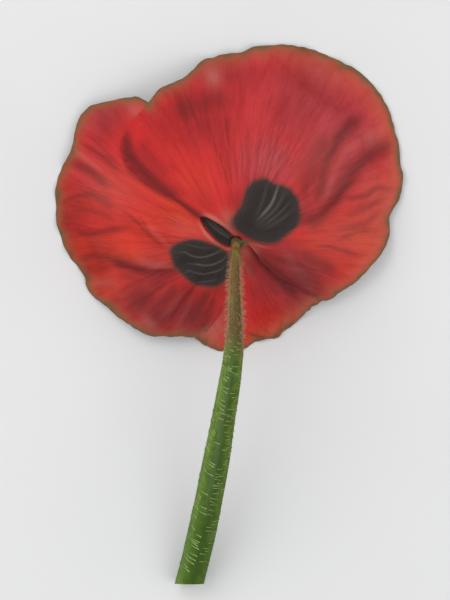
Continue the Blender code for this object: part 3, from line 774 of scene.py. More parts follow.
def makePetalMaterial(name, seed, inner):
    made, tree, shader = newMaterial(name)
    skin = petalSkin

    def streaks(across, outwards, shift, noise):
        return streakNoise(tree, "turn", across, "out", outwards, seed + shift, noise)

    def fadedBy(value, limits, mark):
        return times(tree, rangeNode(tree, value, *skin[limits]), attributeNode(tree, mark))

    broad = streaks(*skin["broadStreaks"])
    fine = streaks(*skin["fineStreaks"])
    hairline = streaks(*skin["hairStreaks"])
    grain = surfaceNoise(tree, skin["grain"])

    # the red with its streaks and veins
    colour = mixNode(tree, fadedBy(broad, "warmPatchy", "warm"), skin["bright"], skin["orange"])
    colour = mixNode(tree, attributeNode(tree, "blush"), colour, skin["blush"])
    colour = mixNode(tree, rangeNode(tree, fine, *skin["deepStreaks"]), colour, skin["deep"])
    colour = mixNode(tree, rangeNode(tree, hairline, *skin["maroonHairs"]), colour, skin["maroon"])
    colour = mixNode(tree, fadedBy(hairline, "paleVeins", "veins"), colour, skin["peach"])
    colour = mixNode(tree, fadedBy(hairline, "plumVeins", "veins"), colour, skin["plum"])

    # paler and duskier towards the edge
    unevenEdge = wavered(tree, attributeNode(tree, "edge"), fine, skin["edgeWaver"])
    colour = mixNode(tree, fadedBy(unevenEdge, "warmEdge", "rimWarm"), colour, skin["paleOrange"])
    colour = mixNode(tree, fadedBy(unevenEdge, "duskEdge", "rimDusk"), colour, skin["rimDusk"])

    # painted shade of folds, dents and overlapped margins with some darker streaks, painted highlights on
    # fold ridges with pale strips, and the rim over them
    broken = rangeNode(tree, hairline, *skin["darkBroken"])
    dark = times(tree, attributeNode(tree, "dark"), broken, clamp=True)
    colour = mixNode(tree, dark, colour, skin["maroon"])
    nearRoot = rangeNode(tree, attributeNode(tree, "out"), *skin["beigeUntil"])
    pale = mixNode(tree, nearRoot, skin["beige"], skin["peach"])
    colour = mixNode(tree, attributeNode(tree, "light"), colour, pale)
    colour = mixNode(tree, fadedBy(unevenEdge, "fadeEdge", "rim"), colour, skin["rimFade"])
    colour = mixNode(tree, fadedBy(unevenEdge, "rimEdge", "rim"), colour, skin["rim"])

    # the dark spot, and the halo just outside it
    depth = attributeNode(tree, "spotInside" if inner else "spot")
    ragged = wavered(tree, depth, hairline, skin["spotWaver"])
    colour = mixNode(tree, rangeNode(tree, ragged, *skin["haloDepth"]), colour, skin["spotHalo"])
    spotHairs = rangeNode(tree, hairline, *skin["spotHairs"])
    spotColour = mixNode(tree, spotHairs, skin["black"], skin["greyBlack"])
    spotColour = mixNode(tree, rangeNode(tree, depth, *skin["spotOuter"]), spotColour, skin["greyBlack"])
    # pale grey glints painted along the spot's veins
    spotGlints = fadedBy(grain, "spotGlintsBroken", "spotGlint")
    spotColour = mixNode(tree, spotGlints, spotColour, skin["spotGlint"])
    colour = mixNode(tree, rangeNode(tree, ragged, *skin["spotEdge"]), colour, spotColour)
    colour = mixNode(tree, rangeNode(tree, grain, *skin["grainDark"]), colour, skin["grainShade"])

    tree.links.new(colour, shader.inputs["Base Color"])
    tree.links.new(rangeNode(tree, grain, *skin["grainRough"]), shader.inputs["Roughness"])
    shader.inputs["Specular IOR Level"].default_value = skin["specular"]
    shader.inputs["Sheen Weight"].default_value = skin["sheenWeight"]
    shader.inputs["Sheen Roughness"].default_value = skin["sheenRoughness"]
    shader.inputs["Sheen Tint"].default_value = (*skin["sheen"], 1.0)
    normal = bumpNode(tree, layered(tree, hairline, grain, skin["bumpGrain"]), *skin["bump"])
    tree.links.new(normal, shader.inputs["Normal"])

    # a little of the light that falls on the other side comes through
    through = tree.nodes.new("ShaderNodeBsdfTranslucent")
    tree.links.new(colour, through.inputs["Color"])
    tree.links.new(normal, through.inputs["Normal"])
    mixed = tree.nodes.new("ShaderNodeMixShader")
    mixed.inputs[0].default_value = skin["throughLight"]
    tree.links.new(shader.outputs[0], mixed.inputs[1])
    tree.links.new(through.outputs[0], mixed.inputs[2])
    tree.links.new(mixed.outputs[0], tree.nodes["Material Output"].inputs["Surface"])
    return made


def setAttribute(mesh, name, values):
    layer = mesh.attributes.new(name, "FLOAT", "POINT")
    layer.data.foreach_set("value", np.asarray(values, np.float32))


def meshFrom(bm, name):
    mesh = bpy.data.meshes.new(name)
    bm.to_mesh(mesh)
    bm.free()
    return mesh


# A flat grid of vertices, and where each one is across it (-1 to 1) and along it (0 to 1).
def makeGrid(columns, rows):
    bm = bmesh.new()
    bmesh.ops.create_grid(bm, x_segments=columns, y_segments=rows, size=1.0)
    grid = np.array([vertex.co[:2] for vertex in bm.verts])
    return bm, grid[:, 0], 0.5 * (grid[:, 1] + 1.0)


def moveVertices(bm, points):
    for vertex, point in zip(bm.verts, points * mm):
        vertex.co = point


def addObject(name, mesh, replaced=()):
    obj = bpy.data.objects.new(name, mesh)
    bpy.context.scene.collection.objects.link(obj)
    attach(obj, "root")
    if replaced:
        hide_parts(*replaced)
    return obj


# The petal's mesh, and for each vertex its angle, its radius and its distance from the petal's edge.
def petalSurface(name, petal):
    make = petalMake
    reach = splineThrough([(math.radians(turn), radius) for turn, radius in petal["reach"]])
    rightMargin = splineThrough([(radius, math.radians(turn)) for radius, turn in petal["right"]])
    leftMargin = splineThrough([(radius, math.radians(turn)) for radius, turn in petal["left"]])
    first, last = math.radians(petal["reach"][0][0]), math.radians(petal["reach"][-1][0])
    claw = bowl["clawRadius"]
    columns = int(make["columnsPerDegree"] * math.degrees(last - first))
    bm, across, along = makeGrid(columns, make["rows"])
    right = rightMargin(claw + (reach(first) - claw) * along)
    left = leftMargin(claw + (reach(last) - claw) * along)
    angle = 0.5 * (right + left) + 0.5 * (left - right) * across

    draw = np.random.default_rng(petal["seed"])
    nibble = sum(part * ripples(angle, 0.0, draw, fewest, most) for fewest, most, part in make["nibbles"])
    rim = reach(angle) + make["nibble"] * nibble
    radius = claw + (rim - claw) * along
    share = radius / bowlRadius(angle)

    pleats = ripples(angle, radius, draw, *make["pleats"])
    patches = smoothStep(ripples(angle, radius, draw, *make["pleatPatches"]), -1, 1)
    pleats = pleats * (make["pleatLeast"] + (1.0 - make["pleatLeast"]) * patches)
    offset = layerOffset(petal, angle, radius)
    offset = offset + make["wrinkle"] * pleats * smoothStep(share, *make["wrinkleFrom"])
    x, y, z = onBowl(radius * np.cos(angle), radius * np.sin(angle), offset, make["thickness"])
    edge = (1.0 - along) * (rim - claw)
    flutter = make["flutterMiddle"] + ripples(angle, radius, draw, *make["flutters"])
    z = z + make["flutter"] * hump(edge, make["flutterWidth"]) * flutter
    z = np.maximum(z, 0.5 * make["thickness"])

    centreX, centreY = bowl["centre"]
    moveVertices(bm, np.column_stack((x + centreX, y + centreY, z)))
    bmesh.ops.recalc_face_normals(bm, faces=bm.faces[:])
    if sum(face.normal.z for face in bm.faces) < 0.0:
        bmesh.ops.reverse_faces(bm, faces=bm.faces[:])
    return meshFrom(bm, name), angle, radius, edge


# Everything that the petal's material reads from its mesh.
def petalMarks(petal, angle, radius, edge):
    make = petalMake
    share = radius / bowlRadius(angle)
    folded = -bowlFolds(angle, share) - make["valleyFrom"]
    valleys = np.clip(folded, 0.0, make["valleyDepth"]) / make["valleyDepth"]
    darkStrokes = petal["dark"] + tuple(veinFanStrokes() if petal["fan"] else ())
    dark = strokeShade(darkStrokes, angle, radius)
    dark = np.maximum(dark, patchShade(petal["darkPatches"], angle, radius))
    light = strokeShade(petal["light"], angle, radius)
    light = np.maximum(light, patchShade(petal["lightPatches"], angle, radius))
    first, last, ease = (math.radians(limit) for limit in petal["rimFrom"])
    rim = plateau(angle, first - ease, first + ease, last - ease, last + ease)
    warmSide = 0.5 + 0.5 * np.cos(angle - math.radians(make["rimWarmTurn"]))
    spot = spotDepth(petal["spotMiddle"], petal["spotReach"], angle, radius)
    if petal["byTongue"]:
        spot = np.maximum(spot, tongueDepth(angle, radius))
    return {
        "turn": angle,
        "out": radius,
        "edge": edge,
        # painted shade of folds, dents and overlapped margins, deepest in the fold valleys, with some
        # darker streaks and veins
        "dark": np.clip(dark + make["valleyShade"] * valleys, 0.0, 1.0),
        # painted highlights on fold ridges, and pale strips beside the spots
        "light": make["lightStrength"] * light,
        "blush": patchShade(petal["blush"], angle, radius),
        "warm": patchShade(petal["warm"], angle, radius),
        "veins": patchShade(petal["veins"], angle, radius),
        "rim": rim,
        "rimDusk": rim * splineThrough(make["rimDusk"])(np.degrees(angle)),
        "rimWarm": rim * warmSide,
        "spot": spot,
        "spotInside": insideSpotDepth(petal, angle, radius),
        # where the painted glints on the spot lie
        "spotGlint": strokeShade(petal["spotGlints"], angle, radius),
    }


def makePetal(name, petal):
    mesh, angle, radius, edge = petalSurface(name, petal)
    for mark, values in petalMarks(petal, angle, radius, edge).items():
        setAttribute(mesh, mark, values)
    mesh.shade_smooth()
    obj = addObject(name + "_blade", mesh, (name,))
    streakSeed = 1.7 * petal["seed"]
    mesh.materials.append(makePetalMaterial(name + "_back", streakSeed, False))
    mesh.materials.append(makePetalMaterial(name + "_face", streakSeed + 40.0, True))
    solid = obj.modifiers.new("thickness", "SOLIDIFY")
    solid.thickness = petalMake["thickness"] * mm
    solid.offset = 0.0
    solid.material_offset = 1
    return obj


for petalName, petalShape in petals.items():
    makePetal(petalName, petalShape)
    print("made", petalName)


# The stem: a bent tube that thickens towards its cut end. Places along it are shares of its
# line, 0 at the receptacle and 1 at the cut. Turns go round it, with 270 facing straight up.
stem = {
    # (x, y, height) from the receptacle, at even shares
    "line": (
        (0.0, 0.3, -0.9), (0.0, -0.3, 1.2), (-0.1, -1.5, 4.4), (-0.2, -4.0, 8.4), (-0.3, -8.6, 10.9),
        (-0.3, -14.0, 11.0), (-0.3, -21.0, 9.0), (-1.1, -31.0, 5.0), (-2.9, -42.0, 0.2),
        (-5.5, -57.0, -7.0), (-8.7, -73.0, -14.6), (-12.2, -87.5, -20.46),
    ),
    "radius": (
        (0.0, 0.8), (0.1, 0.85), (0.2, 0.95), (0.27, 1.1), (0.36, 1.42), (0.45, 1.7), (0.545, 2.05),
        (0.636, 2.55), (0.727, 2.95), (0.818, 3.3), (0.909, 3.5), (1.0, 3.7),
    ),
    "swellings": ((0.02, 23, 1.0), (0.012, 57, 0.0)),  # (share of radius, radians over its length, phase)
    "rings": 260,
    "sides": 48,
    "from": 0.01,  # where its skin begins
    "ribs": 7,
    "ribHeight": 0.06,
    "ribTwist": 1.5,  # how far the ribs' wave shifts over its length, in radians
    "cutRim": 0.5,  # width of the skin round the pale cut
    # bands down its length: (turn, width, strength, where it comes in, where it fades out)
    "bands": {
        "stripe": (281.0, 21.0, 1.0, (0.40, 0.52), None),
        "teal": (262.0, 12.0, 0.75, (0.5, 0.66), (0.82, 0.89)),
        # bright is a painted highlight along the stem's left side
        "bright": (212.0, 26.0, 0.36, (0.56, 0.66), None),
        "brown": (325.0, 55.0, 1.0, (0.26, 0.34), (0.54, 0.63)),
    },
    "stripeGrows": (0.35, 0.95, 0.55, 0.72),  # from this strength to this, between these places
    # its pale hairy sides near the flower: how far round, then where along it they come and go
    "fringeSides": (0.66, 0.97),
    "fringeAlong": (0.2, 0.34, 0.50, 0.64),
    "fringeStrength": 0.8,
    "tipColour": (0.27, 0.17, 0.045),
    # (colour, where along the stem it takes over)
    "colours": (
        ((0.215, 0.096, 0.036), (0.22, 0.36)),
        ((0.200, 0.108, 0.048), (0.36, 0.48)),
        ((0.145, 0.212, 0.030), (0.53, 0.64)),
        ((0.066, 0.132, 0.010), (0.66, 0.95)),
    ),
    "fringe": (0.44, 0.19, 0.105),
    "brown": (0.110, 0.045, 0.020),
    "streak": (0.045, 0.090, 0.009),
    "stripe": (0.038, 0.080, 0.009),
    "teal": (0.078, 0.135, 0.052),
    "pale": (0.27, 0.37, 0.10),
    # the painted highlight along its left side
    "bright": (0.23, 0.40, 0.088),
    "cutColour": (0.34, 0.40, 0.17),
    "streakScales": (3.0, 9.0),  # how fine they are round and along
    "streakNoise": (2.4, 4.0, 0.6),
    "blotchNoise": (260.0, 3.0, 0.55),
    "fleckNoise": (620.0, 3.0, 0.6),
    "grain": (2400.0, 2.0, 0.6),
    # how a noise fades something in: (noise from, noise to, least, most)
    "blotches": (0.5, 0.75, 0.0, 0.34),
    "flecks": (0.45, 0.64, 0.0, 0.82),
    "flecksAlong": (0.54, 0.64),
    "streaks": (0.40, 0.66, 0.0, 0.45),
    "stripeBroken": (0.3, 0.6, 0.7, 1.0),
    "grainRough": (0.3, 0.7, 0.5, 0.7),
    "specular": 0.12,
    "bumpGrain": 0.3,
    "bump": (0.35, 0.2),
}


def stemCentre(along):
    x, y, z = (curve(along) for curve in columnCurves(stem["line"]))
    centreX, centreY = bowl["centre"]
    return np.column_stack((x + centreX, y + centreY, z + bowl["height"]))


def unit(vectors):
    return vectors / np.linalg.norm(vectors, axis=-1, keepdims=True)


# The way the stem runs at each place, and two directions square to it: to the right, and down.
def stemSides(along):
    step = 0.002  # to either side, for measuring the direction
    forward = unit(stemCentre(along + step) - stemCentre(along - step))
    sideways = unit(np.cross(np.cross(forward, np.array([1.0, 0.0, 0.0])), forward))
    return forward, sideways, np.cross(sideways, forward)


def stemPoint(along, turn, lift=0.0):
    radius = splineThrough(stem["radius"])(along)
    swelling = sum(size * np.sin(count * along + phase) for size, count, phase in stem["swellings"])
    rib = stem["ribHeight"] * np.cos(stem["ribs"] * turn + stem["ribTwist"] * along)
    radius = radius * (1.0 + swelling) + rib + lift
    _, sideways, down = stemSides(along)
    return stemCentre(along) + radius[:, None] * (
        np.cos(turn)[:, None] * sideways + np.sin(turn)[:, None] * down
    )


def makeStemMaterial():
    made, tree, shader = newMaterial("stem_skin")
    along = attributeNode(tree, "along")
    streak = streakNoise(
        tree, "around", stem["streakScales"][0], "along", stem["streakScales"][1], 0.0, stem["streakNoise"]
    )
    blotch = surfaceNoise(tree, stem["blotchNoise"])
    fleck = surfaceNoise(tree, stem["fleckNoise"])
    grain = surfaceNoise(tree, stem["grain"])
    colour = stem["tipColour"]
    for shade, place in stem["colours"]:
        colour = mixNode(tree, rangeNode(tree, along, *place), colour, shade)
    colour = mixNode(tree, rangeNode(tree, blotch, *stem["blotches"]), colour, stem["pale"])
    fleckShown = rangeNode(tree, along, *stem["flecksAlong"])
    flecks = times(tree, rangeNode(tree, fleck, *stem["flecks"]), fleckShown)
    colour = mixNode(tree, flecks, colour, stem["streak"])
    # painted highlight along the stem's left side
    colour = mixNode(tree, attributeNode(tree, "bright"), colour, stem["bright"])
    colour = mixNode(tree, attributeNode(tree, "brown"), colour, stem["brown"])
    colour = mixNode(tree, rangeNode(tree, streak, *stem["streaks"]), colour, stem["streak"])
    stripe = times(tree, attributeNode(tree, "stripe"), rangeNode(tree, streak, *stem["stripeBroken"]))
    colour = mixNode(tree, stripe, colour, stem["stripe"])
    colour = mixNode(tree, attributeNode(tree, "teal"), colour, stem["teal"])
    colour = mixNode(tree, attributeNode(tree, "fringe"), colour, stem["fringe"])
    colour = mixNode(tree, attributeNode(tree, "cut"), colour, stem["cutColour"])
    tree.links.new(colour, shader.inputs["Base Color"])
    tree.links.new(rangeNode(tree, grain, *stem["grainRough"]), shader.inputs["Roughness"])
    shader.inputs["Specular IOR Level"].default_value = stem["specular"]
    normal = bumpNode(tree, layered(tree, streak, grain, stem["bumpGrain"]), *stem["bump"])
    tree.links.new(normal, shader.inputs["Normal"])
    return made


# Everything that the stem's material reads from its mesh. "around" closes on itself, so that the
# streaks have no seam.
def stemMarks(along, turn):
    marks = {"along": along, "around": 2.0 * np.cos(turn) + np.sin(turn)}
    for name, (middle, width, strength, comes, goes) in stem["bands"].items():
        shade = strength * humpRound(turn, middle, width) * smoothStep(along, *comes)
        marks[name] = shade if goes is None else shade * (1.0 - smoothStep(along, *goes))
    least, most, start, end = stem["stripeGrows"]
    marks["stripe"] = marks["stripe"] * (least + (most - least) * smoothStep(along, start, end))
    sides = smoothStep(np.abs(np.cos(turn)), *stem["fringeSides"])
    marks["fringe"] = stem["fringeStrength"] * sides * plateau(along, *stem["fringeAlong"])
    marks["cut"] = np.zeros_like(along)
    return marks


# Joins the tube's seam and closes both ends, with a pale disc marked on each.
def closeStem(mesh):
    seamGap = 0.0005 * mm
    bm = bmesh.new()
    bm.from_mesh(mesh)
    bmesh.ops.remove_doubles(bm, verts=bm.verts[:], dist=seamGap)
    ends = bmesh.ops.holes_fill(bm, edges=[edge for edge in bm.edges if edge.is_boundary], sides=0)
    bmesh.ops.inset_region(bm, faces=ends["faces"], thickness=stem["cutRim"] * mm, use_even_offset=True)
    cutLayer = bm.verts.layers.float["cut"]
    for face in ends["faces"]:
        for vertex in face.verts:
            vertex[cutLayer] = 1.0
    bmesh.ops.recalc_face_normals(bm, faces=bm.faces[:])
    bm.to_mesh(mesh)
    bm.free()


def makeStem():
    bm, across, length = makeGrid(stem["sides"], stem["rings"])
    turn = math.pi * (across + 1.0)
    along = stem["from"] + (1.0 - stem["from"]) * length
    points = stemPoint(along, turn)
    # what would pass the cut slides back up the stem to it
    forward = stemSides(along)[0]
    past = np.clip(stemLow[1] / mm - points[:, 1], 0.0, None)
    points = points + forward * (past / forward[:, 1])[:, None]
    points[:, 2] = np.maximum(points[:, 2], 0.0)
    moveVertices(bm, points)
    mesh = meshFrom(bm, "stem_skin")
    for mark, values in stemMarks(along, turn).items():
        setAttribute(mesh, mark, values)
    closeStem(mesh)
    mesh.shade_smooth()
    mesh.materials.append(makeStemMaterial())
    return addObject("stem_skin", mesh, ("stem",))


makeStem()
print("made stem")


# Places along the stem are shares of its line here too.
hairs = {
    "seed": 5,
    "standing": 1050,  # near the flower
    "clinging": 230,  # down the rest of the stem, thickest along its top
    "length": (0.7, 1.4),
    "thickness": (0.105, 0.32),  # across the root, near the flower and near the cut
    "sides": 3,
    "bends": (0.0, 0.38, 0.74, 1.0),  # shares of a hair's length where it can bend
    "taper": 0.7,  # how much thinner the tip is than the root
    "leanSpread": 0.17,  # how unevenly they lean along the stem...
    "swingSpread": 0.18,  # ...and round it
    "droop": 0.3,  # how much they curve along the stem, away from the flower
    "flatten": 0.8,  # how much less they stand out where they cling
    "clingSweep": (22.0, 38.0),  # how far round the stem a clinging hair reaches
    "clingTilt": (0.0008, -0.0024),  # how far it leans along the stem's line, to the right and the left
    "clingTiltSpread": 0.0009,
    "clingBow": 0.0005,  # how far its middle bows back towards the flower
    "clingJitter": 0.004,
    "clingLift": 0.04,  # above the stem's skin
    "clingTop": 1.6,  # the higher, the more of them grow along its top
    "sink": 0.12,  # of the roots, below the skin
    "from": 0.215,
    "to": 0.962,
    "clingFrom": (0.54, 0.60),  # between these they change from standing out to clinging
    "darkUntil": (0.24, 0.36),  # between these the dark ones give way to paler ones
    "clearOfFloor": 0.15,
    "darkColour": (0.20, 0.11, 0.055),  # close under the flower
    "colour": (0.42, 0.22, 0.12),
    "tipColour": (0.56, 0.32, 0.20),
    "greenColour": (0.27, 0.38, 0.13),
    "shade": (0.24, 0.28, 0.10),
    "toneNoise": (320.0, 1.0, 0.5),
    "tone": (0.35, 0.7, 0.0, 0.4),
    "roughness": 0.5,
    "specular": 0.3,
}


# Skins a row of rings of vertices and caps both ends.
def skinRings(bm, rings):
    bm.faces.new(rings[0][::-1])
    bm.faces.new(rings[-1])
    for lower, upper in zip(rings, rings[1:]):
        for corner in range(len(lower)):
            after = (corner + 1) % len(lower)
            bm.faces.new((lower[corner], lower[after], upper[after], upper[corner]))


# Near the flower the hairs stand out from the stem. Further down they cling to it and curve
# round it, away from its top. Gives where each one is at each bend, a direction to build its
# sides from, and how much it clings and how dark it is.
def hairPaths():
    draw = np.random.default_rng(hairs["seed"])
    count = hairs["standing"] + hairs["clinging"]
    changeAt = 0.5 * sum(hairs["clingFrom"])
    evenly = np.linspace(changeAt, hairs["to"], hairs["clinging"], endpoint=False)
    along = np.concatenate((
        draw.uniform(hairs["from"], changeAt, hairs["standing"]),
        evenly + draw.uniform(0.0, hairs["clingJitter"], hairs["clinging"]),
    ))
    cling = smoothStep(along, *hairs["clingFrom"])
    side = np.where(np.arange(count) % 2 == 0, 1.0, -1.0)
    crowding = np.where(cling > 0.5, hairs["clingTop"], 1.0)
    turn = math.pi * (1.5 + side * draw.random(count) ** crowding)
    length = draw.uniform(*hairs["length"], count)
    roots = stemPoint(along, turn, -hairs["sink"])
    forward, sideways, down = stemSides(along)
    out = np.cos(turn)[:, None] * sideways + np.sin(turn)[:, None] * down
    aside = side[:, None] * (np.cos(turn)[:, None] * down - np.sin(turn)[:, None] * sideways)
    lean = draw.normal(0.0, hairs["leanSpread"], count)
    swing = draw.normal(0.0, hairs["swingSpread"], count) + cling
    standsOut = 1.0 - hairs["flatten"] * cling
    way = unit(out * standsOut[:, None] + forward * lean[:, None] + aside * swing[:, None])
    sweep = side * np.radians(draw.uniform(*hairs["clingSweep"], count))
    tilt = np.where(side > 0, *hairs["clingTilt"]) + draw.normal(0.0, hairs["clingTiltSpread"], count)
    middles = []
    for share in hairs["bends"]:
        standing = roots + length[:, None] * (way * share + hairs["droop"] * forward * share**2)
        shifted = along + tilt * share - hairs["clingBow"] * 4.0 * share * (1.0 - share)
        clinging = stemPoint(shifted, turn + sweep * share, hairs["clingLift"])
        middles.append(standing * (1.0 - cling)[:, None] + clinging * cling[:, None])
    # never along the hair itself, whichever way it grows
    guide = out + 0.3 * forward + 0.1 * sideways
    return middles, guide, cling, 1.0 - smoothStep(along, *hairs["darkUntil"])


def makeHairMaterial():
    made, tree, shader = newMaterial("hair_pale")
    colour = mixNode(tree, attributeNode(tree, "tip"), hairs["colour"], hairs["tipColour"])
    colour = mixNode(tree, attributeNode(tree, "dark"), colour, hairs["darkColour"])
    colour = mixNode(tree, attributeNode(tree, "green"), colour, hairs["greenColour"])
    tone = rangeNode(tree, surfaceNoise(tree, hairs["toneNoise"]), *hairs["tone"])
    colour = mixNode(tree, tone, colour, hairs["shade"])
    tree.links.new(colour, shader.inputs["Base Color"])
    shader.inputs["Roughness"].default_value = hairs["roughness"]
    shader.inputs["Specular IOR Level"].default_value = hairs["specular"]
    return made


# Each hair is a thin spike.
def makeHairs():
    middles, guide, cling, dark = hairPaths()
    thin, thick = hairs["thickness"]
    bm = bmesh.new()
    tipLayer = bm.verts.layers.float.new("tip")
    greenLayer = bm.verts.layers.float.new("green")
    darkLayer = bm.verts.layers.float.new("dark")
    for index in range(len(cling)):
        heading = unit(middles[-1][index] - middles[0][index])
        first = unit(np.cross(heading, guide[index]))
        second = np.cross(heading, first)
        rings = []
        for share, places in zip(hairs["bends"], middles):
            wide = 0.5 * (thin + (thick - thin) * cling[index]) * (1.0 - hairs["taper"] * share)
            ring = []
            for corner in range(hairs["sides"]):
                around = 2.0 * math.pi * corner / hairs["sides"]
                place = places[index] + wide * (math.cos(around) * first + math.sin(around) * second)
                place[2] = max(place[2], hairs["clearOfFloor"])
                vertex = bm.verts.new(place * mm)
                vertex[tipLayer] = share
                vertex[greenLayer] = cling[index]
                vertex[darkLayer] = dark[index]
                ring.append(vertex)
            rings.append(ring)
        skinRings(bm, rings)
    bmesh.ops.recalc_face_normals(bm, faces=bm.faces[:])
    mesh = meshFrom(bm, "stem_hairs")
    mesh.materials.append(makeHairMaterial())
    return addObject("stem_hairs", mesh)


makeHairs()
print("made hairs")


# Turns a mesh whose +Z is the way the flower faces, and puts it at the receptacle.
def faceOntoFlower():
    place = Vector((*bowl["centre"], bowl["height"])) * mm
    return Matrix.Translation(place) @ Matrix.Rotation(math.pi + math.radians(bowl["tilt"]), 4, "X")


collar = {
    # (radius, height the way the flower faces) of its outline, from inside the petals back to the stem
    "outline": (
        (0.0, 1.62), (1.5, 1.6), (1.9, 1.4), (1.85, 1.2), (1.3, 1.1), (1.25, 0.0), (1.25, -0.85),
        (1.35, -1.0), (1.45, -1.3), (1.4, -1.6), (1.2, -2.0), (1.0, -2.3), (0.0, -2.4),
    ),
    "steps": 48,
    "lobeTurn": -6.0,
    "lobeWidth": 24.0,
    "lobeSize": 1.25,
    "lobeBehind": (0.9, 1.2, 1.7, 2.2),  # how far behind the petals it swells and ends
    "flutes": 9,
    "fluteSize": 0.03,
    "colour": (0.135, 0.088, 0.036),
    "shade": (0.070, 0.044, 0.018),
    "mottleNoise": (900.0, 3.0, 0.6),
    "mottle": (0.4, 0.65),
    "roughness": 0.7,
    "specular": 0.12,
    "bump": (0.4, 0.2),
}


def makeCollarMaterial():
    made, tree, shader = newMaterial("receptacle_skin")
    mottle = surfaceNoise(tree, collar["mottleNoise"])
    colour = mixNode(tree, rangeNode(tree, mottle, *collar["mottle"]), collar["colour"], collar["shade"])
    tree.links.new(colour, shader.inputs["Base Color"])
    shader.inputs["Roughness"].default_value = collar["roughness"]
    shader.inputs["Specular IOR Level"].default_value = collar["specular"]
    tree.links.new(bumpNode(tree, mottle, *collar["bump"]), shader.inputs["Normal"])
    return made


# The collar's outline turned round its axis and rounded off.
def turnedCollar():
    mesh = bpy.data.meshes.new("collar_outline")
    points = [(radius * mm, 0.0, height * mm) for radius, height in collar["outline"]]
    mesh.from_pydata(points, [(index, index + 1) for index in range(len(points) - 1)], [])
    helper = bpy.data.objects.new("collar_outline", mesh)
    bpy.context.scene.collection.objects.link(helper)
    screw = helper.modifiers.new("turn", "SCREW")
    screw.steps = screw.render_steps = collar["steps"]
    screw.use_merge_vertices = True
    screw.merge_threshold = 0.00001
    soften = helper.modifiers.new("soften", "SUBSURF")
    soften.levels = soften.render_levels = 2
    bpy.context.view_layer.update()
    turned = bpy.data.meshes.new_from_object(helper.evaluated_get(bpy.context.evaluated_depsgraph_get()))
    bpy.data.objects.remove(helper)
    turned.name = "receptacle_collar"
    return turned


def makeCollar():
    turned = turnedCollar()
    for vertex in turned.vertices:
        x, y, z = vertex.co
        turn = math.atan2(y, x)
        lobe = humpRound(turn, collar["lobeTurn"], collar["lobeWidth"])
        lobe = lobe * plateau(-z / mm, *collar["lobeBehind"])
        flute = collar["fluteSize"] * math.cos(collar["flutes"] * turn)
        swell = 1.0 + collar["lobeSize"] * lobe + flute
        vertex.co = (x * swell, y * swell, z)
    turned.transform(faceOntoFlower())
    bm = bmesh.new()
    bm.from_mesh(turned)
    bmesh.ops.recalc_face_normals(bm, faces=bm.faces[:])
    bm.to_mesh(turned)
    bm.free()
    turned.shade_smooth()
    turned.materials.append(makeCollarMaterial())
    return addObject("receptacle_collar", turned)


makeCollar()


pistil = {
    "rays": 10,
    # (radius, height, how strongly the ribs show), from the receptacle outwards
    "ovary": (
        (0.0, 1.97, 0), (1.15, 1.97, 0), (1.2, 2.3, 0), (1.35, 2.9, 0.5), (1.75, 3.6, 0.8),
        (2.2, 4.4, 1), (2.6, 5.4, 1), (2.9, 6.4, 1), (3.03, 7.4, 1), (3.05, 8.2, 1), (2.97, 9.0, 1),
        (2.7, 9.6, 1), (2.2, 9.95, 0.6), (1.2, 10.1, 0), (0.0, 10.12, 0),
    ),
    "disc": (
        (0.0, 10.4, 0), (1.2, 10.4, 0), (2.9, 10.5, 0.4), (3.6, 10.45, 1), (3.9, 10.62, 1),
        (3.8, 10.9, 1), (3.4, 11.25, 0.7), (3.0, 11.5, 0.4), (2.0, 12.0, 0.1), (0.9, 12.3, 0),
        (0.0, 12.25, 0),
    ),
    "steps": 120,
    "rings": 56,
    "ovaryRibs": 0.05,  # as a share of the radius
    "discRibs": 0.06,
    "rayHeight": 0.32,
    "rayReach": (0.3, 1.0, 3.5, 3.9),  # radii where a ray rises and where it ends
    "ovaryColour": (0.30, 0.40, 0.13),
    "ovaryShade": (0.13, 0.21, 0.06),
    "bloomColour": (0.36, 0.42, 0.30),
    "ovaryNoise": (700.0, 3.0, 0.6),
    "bloom": (0.45, 0.7, 0.0, 0.5),
    "ribShade": (-1.0, 0.4),
    "ovaryRoughness": 0.5,
    "ovaryBump": (0.25, 0.1),
    "rayColour": (0.035, 0.012, 0.028),
    "discColour": (0.34, 0.33, 0.12),
    "napShade": (0.01, 0.006, 0.01),
    "napNoise": (4000.0, 2.0, 0.7),
    "nap": (0.3, 0.8, 0.0, 0.4),
    "rayEdge": (0.12, 0.5),
    "discRoughness": 0.9,
    "discSheen": 0.3,
    "discBump": (0.6, 0.15),
}


# A round body with ribs along it, turned round the flower's axis, and with rays on its top if
# they have a height.
def ribbedBody(name, outline, ribShare, rayHeight=0.0):
    radii, heights, strengths = columnCurves(outline)
    bm = bmesh.new()
    bmesh.ops.create_uvsphere(bm, u_segments=pistil["steps"], v_segments=pistil["rings"], radius=1.0)
    ribs = []
    rays = []
    for vertex in bm.verts:
        share = 1.0 - math.acos(max(-1.0, min(1.0, vertex.co.z))) / math.pi
        turn = math.atan2(vertex.co.y, vertex.co.x)
        rib = math.cos(pistil["rays"] * turn)
        radius = float(radii(share)) * (1.0 + ribShare * float(strengths(share)) * rib)
        onTop = rayHeight > 0.0 and share > 0.5
        ray = float(max(0.0, rib) ** 2 * plateau(radius, *pistil["rayReach"])) if onTop else 0.0
        height = float(heights(share)) + rayHeight * ray
        vertex.co = (radius * math.cos(turn) * mm, radius * math.sin(turn) * mm, height * mm)
        ribs.append(rib)
        rays.append(ray)
    bmesh.ops.recalc_face_normals(bm, faces=bm.faces[:])
    mesh = meshFrom(bm, name)
    setAttribute(mesh, "rib", ribs)
    setAttribute(mesh, "ray", rays)
    mesh.transform(faceOntoFlower())
    mesh.shade_smooth()
    return mesh


